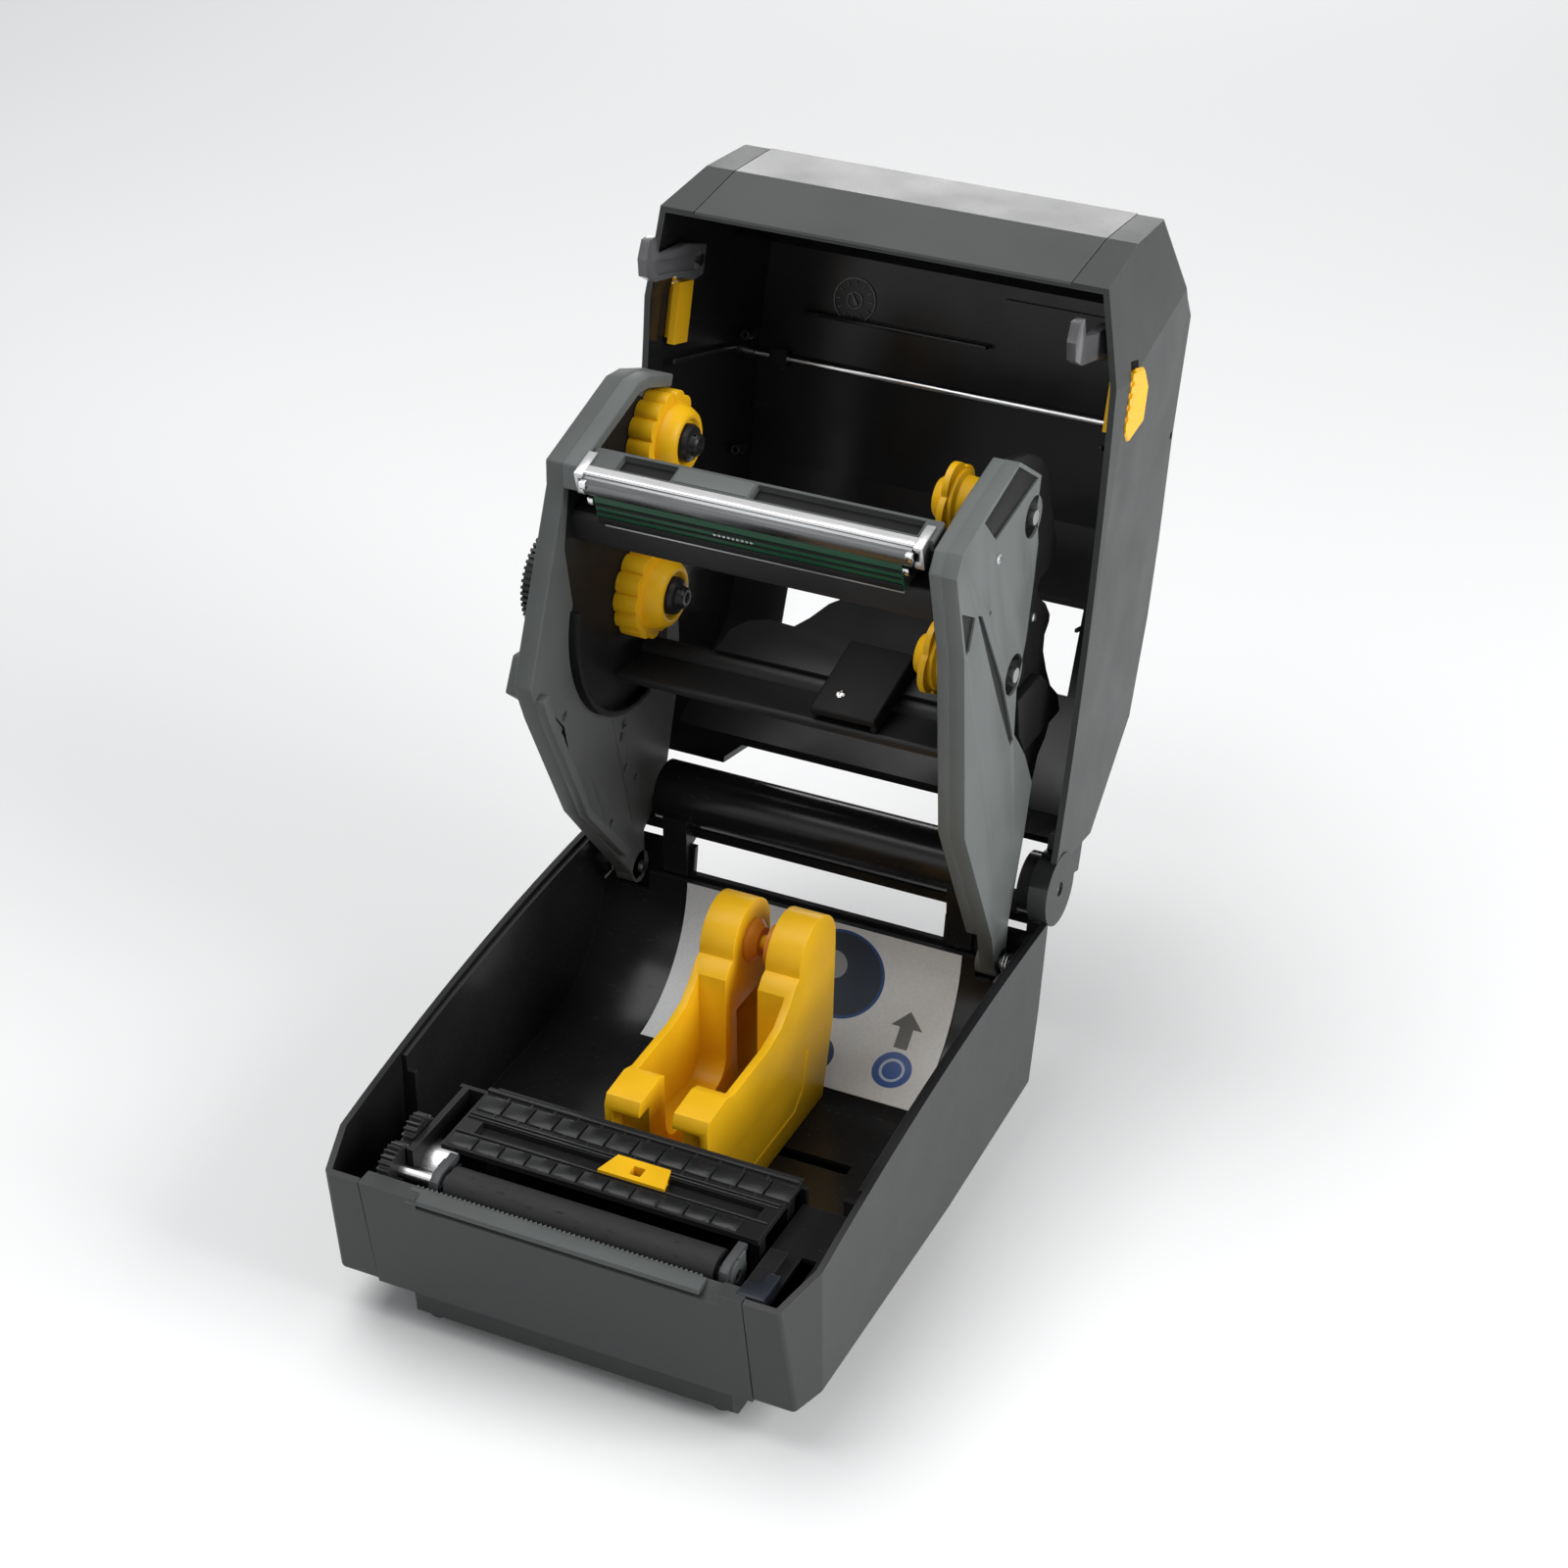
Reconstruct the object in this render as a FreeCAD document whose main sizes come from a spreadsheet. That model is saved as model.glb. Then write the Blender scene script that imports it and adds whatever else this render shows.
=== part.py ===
import FreeCAD, Part
import math
import os
import re
import Sketcher

# A desktop thermal transfer label printer with its lid and ribbon carriage swung open.
# Lengths are millimetres and angles are degrees. X runs to the printer's right, Y from its
# front edge to the rear and Z up from the table. Every piece is modelled where it sits with
# the printer shut, and the lid's and the carriage's pieces then swing open about their hinges.

SIZES = (
    # the case as a whole
    ("half_width", 101, "half the width over the base's sides"),
    ("base_length", 238, "front edge to rear wall"),
    ("origin_back", 194, "front edge back to the part's origin"),
    ("rim_front", 76, "height of the base's rim at the front"),
    ("rim_rear", 98, "height of the base's rim at the rear"),
    ("rim_radius", 1000, "radius of the rim's bow, seen from the side"),
    ("under_height", 22, "height of the base's underside"),
    ("wall", 2.6, "wall of the case shells"),
    ("seam", 0.4, "gap at a seam between two shells"),
    ("front_tuck", 8, "how far the front face leans back"),
    ("rear_tuck", 15, "how far the rear wall is tucked in at the bottom"),
    ("rear_rise", 5, "how far the underside rises to the rear"),
    ("slope_length", 84, "length of the underside's rising rear part"),
    ("shoulder_height", 60, "height of the rear wall's shoulder"),
    ("shoulder_tuck", 7, "tuck of the rear wall at its shoulder"),
    ("facet_side", 6, "width taken off each front corner"),
    ("facet_length", 23, "length of each front corner's facet"),
    # bezel, tear strip and plinth
    ("bezel_half", 80, "half the width between the front seams"),
    ("bezel_foot", 12, "depth of the bezel's foot under the front"),
    ("shelf_drop", 6, "drop of the lip's bevel"),
    ("shelf_depth", 8.4, "depth of the lip in front of the platen"),
    ("tear_half", 62, "half the length of the tear strip"),
    ("tear_thick", 0.8, "thickness of the tear strip"),
    ("plinth_half", 68, "half the width of the plinth"),
    ("plinth_front", 14, "front of the plinth"),
    ("plinth_inset", 27, "plinth's rear from the rear wall"),
    ("plinth_base", 2.5, "height of the plinth's underside"),
    ("foot_radius", 8, "radius of a rubber foot"),
    ("screw_radius", 1.5, "radius of a screw's shank"),
    # tub and deck
    ("liner_wall", 1.8, "wall of the tub"),
    ("tub_front", 66, "front wall of the tub"),
    ("floor_rise", 4.4, "tub's floor above the base's inner floor"),
    ("scoop_radius", 55, "radius of the tub's scooped rear"),
    ("scoop_inset", 66, "scoop's centre from the rear wall"),
    ("rim_drop", 2, "rim of the tub below the rim of the base"),
    ("media_centre", 7, "centre line of the media, to the right of the case's"),
    ("media_half", 56, "half the width of the platen's rubber"),
    ("deck_front", 28, "front edge of the media deck"),
    ("deck_top", 81, "height of the media deck"),
    ("deck_thick", 2.4, "thickness of the media deck"),
    ("groove_front", 38, "front of the sensor's groove"),
    ("groove_width", 8, "width of the sensor's groove"),
    ("groove_depth", 3, "depth of the sensor's groove"),
    # platen and its drive
    ("platen_y", 17.5, "platen's axis"),
    ("platen_z", 71.5, "platen's axis"),
    ("platen_radius", 8, "radius of the platen's rubber"),
    ("shaft_radius", 2.5, "radius of the platen's shaft"),
    ("run_gap", 0.05, "radial gap of a running fit"),
    ("bearing_radius", 5, "radius of a platen bearing"),
    ("bearing_width", 4, "width of a platen bearing"),
    ("gear_module", 0.8, "module of the drive gears"),
    ("gear_width", 5, "width of the drive gears"),
    ("platen_teeth", 24, "teeth of the platen's gear"),
    ("idler_teeth", 20, "teeth of the idler"),
    ("pinion_teeth", 16, "teeth of the motor's pinion"),
    ("gear_plane", 77, "outer face of the gears, to the left"),
    ("idler_rise", 12, "angle up from the platen to the idler"),
    ("mesh_gap", 0.12, "extra distance between meshed gears"),
    ("motor_radius", 12, "radius of the stepping motor"),
    ("motor_length", 12, "length of the stepping motor"),
    ("motor_shaft", 1.5, "radius of the motor's shaft"),
    ("io_half", 62, "half the width of the connector panel"),
    ("io_low", 31, "bottom of the connector panel"),
    ("io_high", 54, "top of the connector panel"),
    ("inlet_radius", 6, "radius of the power inlet's barrel"),
    # hinge of the lid
    ("hinge_overhang", 9.7, "lid's hinge axis behind the rear wall"),
    ("hinge_z", 107.3, "lid's hinge axis"),
    ("lid_open", 107, "angle of the open lid"),
    ("ear_radius", 15.5, "radius of the lid's hinge ears"),
    ("ear_width", 8, "width of the lid's hinge ears"),
    ("beam_radius", 13, "radius of the beam between the ears"),
    ("pin_radius", 3, "radius of the hinge pins"),
    ("slot_half", 57, "half the length of the rear media slot"),
    ("slot_low", 79, "bottom of the rear media slot"),
    ("slot_high", 91, "top of the rear media slot"),
    # lid
    ("lid_top", 185, "height of the lid's top at the front"),
    ("lid_crown", 190, "height of the lid's crown"),
    ("lid_nose", 19, "how far the lid overhangs the base's front"),
    ("nose_low", 110, "height of the front face's lower edge"),
    ("nose_high", 143, "height of the front face's upper edge"),
    ("side_lean", 7, "how far the lid's sides lean in at the top"),
    ("panel_half", 79.5, "half the width of the lid's front panel"),
    ("window_half", 70, "half the width of the window"),
    ("crown_front", 118, "front end of the lid's crown"),
    ("crown_length", 32, "length of the lid's crown, up to the window"),
    ("pane_thick", 1.8, "thickness of the window's pane"),
    ("latch_travel", 4, "travel of a latch"),
    ("rod_radius", 1.6, "radius of the lid's cross rod"),
    ("rod_y", 72, "lid's cross rod"),
    ("rod_drop", 2, "lid's cross rod below the lid's inner face"),
    ("button_radius", 4, "radius of a button"),
    ("button_gap", 0.15, "gap round a button"),
    ("button_pitch", 13, "distance between buttons"),
    # ribbon carriage
    ("pivot_inset", 14, "carriage's pivot from the rear wall"),
    ("pivot_z", 82, "carriage's pivot"),
    ("carriage_open", 76, "angle of the open carriage"),
    ("left_face", 86, "outer face of the left frame"),
    ("left_depth", 8, "thickness of the left frame"),
    ("right_face", 86, "outer face of the right frame"),
    ("right_depth", 9, "thickness of the right frame"),
    ("pivot_radius", 2.5, "radius of the carriage's pins"),
    ("takeup_y", 40.5, "take-up hubs' axis"),
    ("takeup_z", 147, "take-up hubs' axis"),
    ("supply_y", 96, "supply hubs' axis"),
    ("supply_z", 117.5, "supply hubs' axis"),
    ("hub_radius", 19, "radius of the knurled flange of a left hub"),
    ("cone_radius", 16, "radius of the flange of a right hub"),
    ("spindle_radius", 3, "radius of the hubs' axles and spindles"),
    ("hub_travel", 5, "travel of a right hub's spindle"),
    ("head_gap", 0.4, "print head above the platen"),
    # roll guides
    ("guide_inset", 66, "roll cores' axis from the rear wall"),
    ("guide_z", 101, "roll cores' axis"),
    ("guide_gap", 7, "each guide's inner face from the media's centre"),
    ("guide_thick", 15, "width of a roll guide"),
    ("core_radius", 9, "radius of a core hub"),
    ("guide_travel", 38, "travel of each roll guide"),
    ("rack_teeth", 18, "teeth of the guides' pinion"),
    ("rack_module", 1, "module of the guides' racks"),
    ("rack_base", 17, "height of the racks"),
    ("rack_tall", 4, "width of the racks' teeth"),
)

doc = FreeCAD.newDocument("LabelPrinter")
sheet = doc.addObject("Spreadsheet::Sheet", "Sizes")
for row, (alias, number, meaning) in enumerate(SIZES, start=1):
    sheet.set(f"A{row}", meaning)
    sheet.set(f"B{row}", str(number))
    sheet.setAlias(f"B{row}", alias)
doc.recompute()

ALIASES = {alias for alias, _, _ in SIZES}
FOLLOWING = {
    "hinge_y": "(base_length + hinge_overhang)",
    "guide_y": "(base_length - guide_inset)",
    "tub_floor": "(under_height + wall + floor_rise)",
    "level_length": "(base_length - rear_tuck - slope_length)",
    "rod_height": "(lid_top - wall - rod_drop)",
    "window_front": "(crown_front + crown_length)",
}
AXIS_TURNS = {"x": ((0, 1, 0), 90), "y": ((1, 0, 0), -90), "z": ((0, 0, 1), 0)}
pieces = {}


def tie(formula):
    """The formula with each size named in the sheet, as an expression needs it."""
    spelled = re.sub(r"[a-z_]+", lambda word: FOLLOWING.get(word.group(), word.group()), str(formula))
    return re.sub(
        r"[a-z_]+",
        lambda word: ("Sizes." if word.group() in ALIASES else "") + word.group(),
        spelled,
    )


def worth(formula):
    """The formula's number, for first guesses and for counts."""
    return float(sheet.evalExpression(tie(formula)))


def bind(thing, **formulas):
    """Ties each property to its formula."""
    for name, formula in formulas.items():
        thing.setExpression(name, tie(formula))


def bind_place(thing, place, path="Placement.Base."):
    for letter, formula in zip("xyz", place):
        thing.setExpression(path + letter, tie(formula))


def mirrored(outline):
    """The same outline on the other side of the middle plane."""
    return [(f"-({point[0]})", *point[1:]) for point in outline]


def swung(group, place):
    """Where a point of the shut printer goes, as formulas, and the turn about X."""
    y, z = place[1], place[2]
    if group == "lid":
        pivot, turn = ("hinge_y", "hinge_z"), "lid_open"
    elif group == "carriage":
        pivot, turn = ("(base_length - pivot_inset)", "pivot_z"), "carriage_open"
    else:
        return (place[0], f"{y} - origin_back", z), None
    across, up = f"({y} - {pivot[0]})", f"({z} - {pivot[1]})"
    return (
        place[0],
        f"{pivot[0]} - origin_back + cos({turn}) * {across} + sin({turn}) * {up}",
        f"{pivot[1]} - sin({turn}) * {across} + cos({turn}) * {up}",
    ), f"-{turn}"


def settle(thing, label, group, place=("0", "0", "0")):
    """Labels a finished piece and puts it where it is at rest."""
    thing.Label = label
    spot, turn = swung(group, place)
    if turn:
        thing.Placement = FreeCAD.Placement(
            FreeCAD.Vector(), FreeCAD.Rotation(FreeCAD.Vector(1, 0, 0), worth(turn))
        )
        thing.setExpression("Placement.Rotation.Angle", tie(turn))
    bind_place(thing, spot)
    pieces[label] = thing


class Body:
    """A PartDesign body whose features are added one after another."""

    def __init__(self, name):
        self.body = doc.addObject("PartDesign::Body", name)
        self.planes = {feature.Role: feature for feature in self.body.Origin.OriginFeatures}

    def sketch(self, plane, offset, outline):
        """A closed outline on an origin plane. A point's third entry is the radius of the arc
        that leaves it, positive to the right of the way there; a lone circle is (x, y, radius)."""
        drawing = self.body.newObject("Sketcher::SketchObject", "Outline")
        drawing.AttachmentSupport = (self.planes[plane + "_Plane"], [""])
        drawing.MapMode = "FlatFace"
        drawing.setExpression("AttachmentOffset.Base.z", tie(offset))
        if isinstance(outline, tuple):
            self.circle(drawing, outline)
        else:
            self.loop(drawing, outline)
        return drawing

    def fix(self, drawing, kind, formula, *ends):
        index = drawing.addConstraint(Sketcher.Constraint(kind, *ends, worth(formula)))
        drawing.setExpression(f"Constraints[{index}]", tie(formula))

    def circle(self, drawing, outline):
        x, y, radius = outline
        centre = FreeCAD.Vector(worth(x), worth(y), 0)
        drawing.addGeometry(Part.Circle(centre, FreeCAD.Vector(0, 0, 1), worth(radius)), False)
        self.fix(drawing, "Radius", radius, 0)
        self.fix(drawing, "DistanceX", x, -1, 1, 0, 3)
        self.fix(drawing, "DistanceY", y, -1, 1, 0, 3)

    def loop(self, drawing, outline):
        corners = [FreeCAD.Vector(worth(point[0]), worth(point[1]), 0) for point in outline]
        starts, ends = [], []
        for index, point in enumerate(outline):
            start, end = corners[index], corners[(index + 1) % len(corners)]
            if len(point) == 2:
                drawing.addGeometry(Part.LineSegment(start, end), False)
                starts.append(1)
                ends.append(2)
                continue
            radius, chord = worth(point[2]), end - start
            reach = abs(radius) - math.sqrt(radius**2 - (chord.Length / 2) ** 2)
            side = FreeCAD.Vector(chord.y, -chord.x, 0).normalize() * math.copysign(reach, radius)
            drawing.addGeometry(Part.Arc(start, start + chord * 0.5 + side, end), False)
            forward = radius > 0
            starts.append(1 if forward else 2)
            ends.append(2 if forward else 1)
            self.fix(drawing, "Radius", f"abs({point[2]})", index)
        for index, point in enumerate(outline):
            following = (index + 1) % len(outline)
            drawing.addConstraint(
                Sketcher.Constraint("Coincident", index, ends[index], following, starts[following])
            )
            self.fix(drawing, "DistanceX", point[0], -1, 1, index, starts[index])
            self.fix(drawing, "DistanceY", point[1], -1, 1, index, starts[index])

    def pad(self, plane, low, high, outline):
        """Material between two distances from the plane, along X, Y or Z."""
        offset = f"-({high})" if plane == "XZ" else low
        feature = self.body.newObject("PartDesign::Pad", "Pad")
        feature.Profile = self.sketch(plane, offset, outline)
        bind(feature, Length=f"({high}) - ({low})")
        return feature

    def pocket(self, plane, low, high, outline):
        """The same as pad, taken away."""
        offset = f"-({low})" if plane == "XZ" else high
        feature = self.body.newObject("PartDesign::Pocket", "Pocket")
        feature.Profile = self.sketch(plane, offset, outline)
        bind(feature, Length=f"({high}) - ({low})")
        return feature

    def turn(self, outline, cut=False):
        """An outline of (x, radius) points turned about the body's X axis."""
        kind = "Groove" if cut else "Revolution"
        feature = self.body.newObject("PartDesign::" + kind, kind)
        feature.Profile = self.sketch("XY", "0", outline)
        feature.ReferenceAxis = (self.planes["X_Axis"], [""])
        feature.Angle = 360
        return feature

    def block(self, low, high, cut=False):
        kind = "SubtractiveBox" if cut else "AdditiveBox"
        feature = self.body.newObject("PartDesign::" + kind, "Block")
        for name, start, end in zip(("Length", "Width", "Height"), low, high):
            bind(feature, **{name: f"({end}) - ({start})"})
        bind_place(feature, low)
        return feature

    def rod(self, axis, low, length, radius, cut=False):
        """A cylinder that starts at a point and runs along an axis."""
        kind = "SubtractiveCylinder" if cut else "AdditiveCylinder"
        feature = self.body.newObject("PartDesign::" + kind, "Rod")
        direction, angle = AXIS_TURNS[axis]
        feature.Placement = FreeCAD.Placement(
            FreeCAD.Vector(), FreeCAD.Rotation(FreeCAD.Vector(*direction), angle)
        )
        bind(feature, Radius=radius, Height=length)
        bind_place(feature, low)
        return feature

    def around(self, features, count):
        """The features repeated round the body's X axis."""
        pattern = self.body.newObject("PartDesign::PolarPattern", "Around")
        pattern.Originals = features
        pattern.Axis = (self.planes["X_Axis"], [""])
        pattern.Angle = 360
        bind(pattern, Occurrences=count)
        self.body.Tip = pattern
        return pattern

    def along(self, features, axis, reach, count):
        """The features repeated along one of the body's axes."""
        pattern = self.body.newObject("PartDesign::LinearPattern", "Along")
        pattern.Originals = features
        pattern.Direction = (self.planes[axis.upper() + "_Axis"], [""])
        bind(pattern, Length=reach, Occurrences=count)
        self.body.Tip = pattern
        return pattern

    def edges(self, test):
        """The names of the edges that pass the test, in the shape so far."""
        doc.recompute()
        shape = self.body.Tip.Shape
        return [f"Edge{n}" for n, edge in enumerate(shape.Edges, start=1) if test(edge)]

    def round_off(self, test, radius):
        names = self.edges(test)
        base = self.body.Tip
        feature = self.body.newObject("PartDesign::Fillet", "Round")
        feature.Base = (base, names)
        bind(feature, Radius=radius)

    def hollow(self, inner):
        """Takes another body's solid away from this one."""
        feature = self.body.newObject("PartDesign::Boolean", "Hollow")
        feature.setObjects([inner.body])
        feature.Type = "Cut"

    def wrap(self, test):
        """Turns the solid into a shell with a wall outside it, rounded over its edges, and
        open at the faces that pass the test."""
        doc.recompute()
        base = self.body.Tip
        names = [f"Face{n}" for n, face in enumerate(base.Shape.Faces, start=1) if test(face)]
        feature = self.body.newObject("PartDesign::Thickness", "Wrap")
        feature.Base = (base, names)
        feature.Reversed = False
        feature.Join = 0
        bind(feature, Value="wall")

    def finish(self, label, group, place=("0", "0", "0")):
        settle(self.body, label, group, place)


def cylinder(axis, low, length, radius):
    """A plain turned pin or disc, for groups."""
    thing = doc.addObject("Part::Cylinder", "Cylinder")
    direction, angle = AXIS_TURNS[axis]
    thing.Placement = FreeCAD.Placement(
        FreeCAD.Vector(), FreeCAD.Rotation(FreeCAD.Vector(*direction), angle)
    )
    bind(thing, Radius=radius, Height=length)
    bind_place(thing, low)
    return thing


def box(low, high):
    thing = doc.addObject("Part::Box", "Box")
    for name, start, end in zip(("Length", "Width", "Height"), low, high):
        bind(thing, **{name: f"({end}) - ({start})"})
    bind_place(thing, low)
    return thing


def group_of(solids, label, group):
    """Separate like solids kept as one piece."""
    compound = doc.addObject("Part::Compound", "Group")
    compound.Links = solids
    settle(compound, label, group)


REAR = "base_length"
BEAM_HALF = "(half_width - ear_width - 2 * seam)"
TUB_HALF = "(half_width - wall - seam - liner_wall)"
SCOOP_Y = f"({REAR} - scoop_inset)"
SCOOP_Z = "(tub_floor + scoop_radius)"
DECK_LEFT = "(media_centre - media_half - 11)"
DECK_RIGHT = "(media_centre + media_half + 10)"
GEAR_FACE = "(gear_width - gear_plane)"
PIVOT_Y = f"({REAR} - pivot_inset)"
GUIDE_NECK = ("1", "6")
RACK_Y = f"({REAR} - 113)"
RIGHT_BEARING = "(media_centre + media_half + 1.5)"
LEFT_BEARING = "(media_centre - media_half - 1.5 - bearing_width)"
IDLER_REACH = "(gear_module * (platen_teeth + idler_teeth) / 2 + mesh_gap)"
IDLER_Y = f"(platen_y + cos(idler_rise) * {IDLER_REACH})"
IDLER_Z = f"(platen_z + sin(idler_rise) * {IDLER_REACH})"
PINION_Z = f"({IDLER_Z} - gear_module * (idler_teeth + pinion_teeth) / 2 - mesh_gap)"
IO_FRONT = f"({REAR} - rear_tuck - 1.6)"
IO_FACE = f"({REAR} - rear_tuck + 1.4)"
IO_MIDDLE = "((io_low + io_high + 1) / 2)"
IO_OPENINGS = (
    ("-io_half + 6", "-io_half + 21"),
    ("-io_half + 28", "-io_half + 41"),
    ("-io_half + 48", "-io_half + 61"),
    ("-io_half + 67", "-io_half + 98"),
)
SCREW_SPOTS = [
    (x, y)
    for x in ("plinth_half - 7", "7 - plinth_half")
    for y in ("plinth_front + 8", f"{REAR} - plinth_inset - 7")
]
FRAME_FLOOR = "(under_height + wall + 0.4)"


def base_side(inset):
    """The base seen from the side, inset from its outer faces: the rim bows gently."""
    return [
        (inset, "rim_front"),
        (f"front_tuck + {inset}", f"under_height + {inset}"),
        ("level_length", f"under_height + {inset}"),
        (f"{REAR} - rear_tuck - {inset}", f"under_height + rear_rise + {inset}"),
        (f"{REAR} - shoulder_tuck - {inset}", "shoulder_height"),
        (f"{REAR} - {inset}", "rim_rear", "rim_radius"),
    ]


def front_corner(inset):
    """What each front corner's facet takes off, seen from above."""
    return [
        (f"half_width - facet_side - {inset}", inset),
        (f"half_width - {inset}", "facet_length"),
        ("half_width + facet_side", "facet_length"),
        ("half_width + facet_side", "-facet_side"),
        (f"half_width - facet_side - {inset}", "-facet_side"),
    ]


def base_shell():
    """The outer casing: a faceted tub with its front left open between the bezel's seams."""
    shell = Body("base_shell")
    shell.pad("YZ", "wall - half_width", "half_width - wall", base_side("wall"))
    for outline in (front_corner("wall"), mirrored(front_corner("wall"))):
        shell.pocket("XY", "0", "2 * rim_rear", outline)
    rim = worth("rim_front") - 1
    shell.wrap(lambda face: face.BoundBox.ZMin > rim)
    shell.block(
        ("-bezel_half", "-wall", "0"), ("bezel_half", "bezel_foot", "2 * rim_front"), cut=True
    )
    plinth_hole = "plinth_half - 8"
    shell.block(
        (f"-({plinth_hole})", "plinth_front + 14", "0"),
        (plinth_hole, f"{REAR} - plinth_inset - 14", "under_height + rear_rise + 2 * wall"),
        cut=True,
    )
    shell.block(
        (f"-{BEAM_HALF}", f"{REAR} - 30", "slot_high"),
        (BEAM_HALF, f"{REAR} + wall", "2 * rim_rear"),
        cut=True,
    )
    shell.block(
        ("-slot_half", f"{REAR} - 30", "slot_low"), ("slot_half", f"{REAR} + wall", "2 * rim_rear"), cut=True
    )
    panel = ("io_half + seam", "io_low - seam", "io_high + seam")
    shell.block(
        (f"-({panel[0]})", f"{REAR} - 30", panel[1]), (panel[0], f"{REAR} + wall", panel[2]), cut=True
    )
    for x, y in SCREW_SPOTS:
        shell.rod("z", (x, y, "0"), "under_height + wall + rear_rise", "screw_radius", cut=True)
    for side in ("half_width - 4 * wall", "-half_width - wall"):
        shell.rod("x", (side, "hinge_y", "hinge_z"), "5 * wall", "ear_radius + seam", cut=True)
    shell.finish("base_shell", "base")


def rim_height(y):
    """Height of the base's rim at a distance from its front."""
    rise = f"(rim_rear - rim_front) * ({y}) / {REAR}"
    return f"(rim_front + {rise} + ({y}) * ({REAR} - ({y})) / (2 * rim_radius))"


def front_bezel():
    """The front panel between the seams, with the bevelled lip that labels leave over."""
    bezel = Body("front_bezel")
    half = "(bezel_half - seam)"
    outline = [
        ("0", "rim_front"),
        ("front_tuck", "under_height"),
        ("bezel_foot - seam", "under_height"),
        ("bezel_foot - seam", "under_height + wall"),
        ("front_tuck + wall", "under_height + wall"),
        ("wall + 0.5", "rim_front - 2 * shelf_drop"),
        ("shelf_depth - 2 * seam", "rim_front - 1.5 * shelf_drop"),
        ("shelf_depth - 2 * seam", "rim_front"),
    ]
    bezel.pad("YZ", f"-{half}", half, outline)
    bezel.rod(
        "x",
        ("-gear_plane - seam", "platen_y", "platen_z"),
        "gear_width + 2 * seam",
        "gear_module * (platen_teeth / 2 + 1) + seam",
        cut=True,
    )
    bevel = [
        ("-wall", "rim_front - shelf_drop"),
        ("0", "rim_front - shelf_drop"),
        ("shelf_depth - 2 * seam", "rim_front - tear_thick"),
        ("shelf_depth + wall", "rim_front - tear_thick"),
        ("shelf_depth + wall", "rim_front + wall"),
        ("-wall", "rim_front + wall"),
    ]
    bezel.pocket("YZ", "media_centre - tear_half - seam", "media_centre + tear_half + seam", bevel)
    bezel.finish("front_bezel", "base")


def tear_bar():
    """The strip on the lip, with a row of fine teeth along its upper edge."""
    strip = Body("tear_bar")
    low = "rim_front - shelf_drop"
    depth = "(shelf_depth - 2 * seam)"
    strip.pad(
        "YZ",
        "media_centre - tear_half",
        "media_centre + tear_half",
        [
            ("0", low),
            (depth, "rim_front - tear_thick"),
            (depth, "rim_front"),
            (f"{depth} - 1", "rim_front"),
            ("0", f"{low} + tear_thick"),
        ],
    )
    notch = strip.block(
        ("media_centre - tear_half + 1", f"{depth} - 0.7", "rim_front - tear_thick"),
        ("media_centre - tear_half + 2", f"{depth} + 1", "rim_front + 1"),
        cut=True,
    )
    strip.along([notch], "x", "2 * tear_half - 3", "tear_half")
    strip.finish("tear_bar", "base")


def base_plinth():
    """The narrower tray under the base, with recesses for its feet."""
    plinth = Body("base_plinth")
    rear = f"{REAR} - plinth_inset"
    slope = f"rear_rise * ({rear} - level_length) / ({REAR} - rear_tuck - level_length)"
    plinth.pad(
        "YZ",
        "-plinth_half",
        "plinth_half",
        [
            ("plinth_front", "under_height"),
            ("plinth_front + 1", "plinth_base + 4"),
            ("plinth_front + 5", "plinth_base"),
            (f"{rear} - 4", "plinth_base"),
            (rear, "plinth_base + 4"),
            (rear, f"under_height + {slope}"),
            ("level_length", "under_height"),
        ],
    )
    inner = "(plinth_half - wall)"
    plinth.block(
        (f"-{inner}", "plinth_front + 2 * wall", "plinth_base + wall"),
        (inner, f"{rear} - wall", "2 * under_height"),
        cut=True,
    )
    for x, y in SCREW_SPOTS:
        plinth.rod("z", (x, y, "plinth_base + 1"), "under_height - plinth_base - 1", "5")
        plinth.rod("z", (x, y, "0"), "2 * under_height", "screw_radius + 0.1", cut=True)
        plinth.rod("z", (x, y, "0"), "plinth_base + 2.2", "2 * screw_radius + 0.3", cut=True)
    plinth.finish("base_plinth", "base")


def rubber_feet():
    """Four round rubber feet under the plinth."""
    solids = []
    for x in ("-plinth_half + 18", "plinth_half - 18"):
        for y in ("plinth_front + 18", f"{REAR} - plinth_inset - 18"):
            solids.append(cylinder("z", (x, y, "0"), "plinth_base", "foot_radius"))
    group_of(solids, "rubber_feet", "base")


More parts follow.
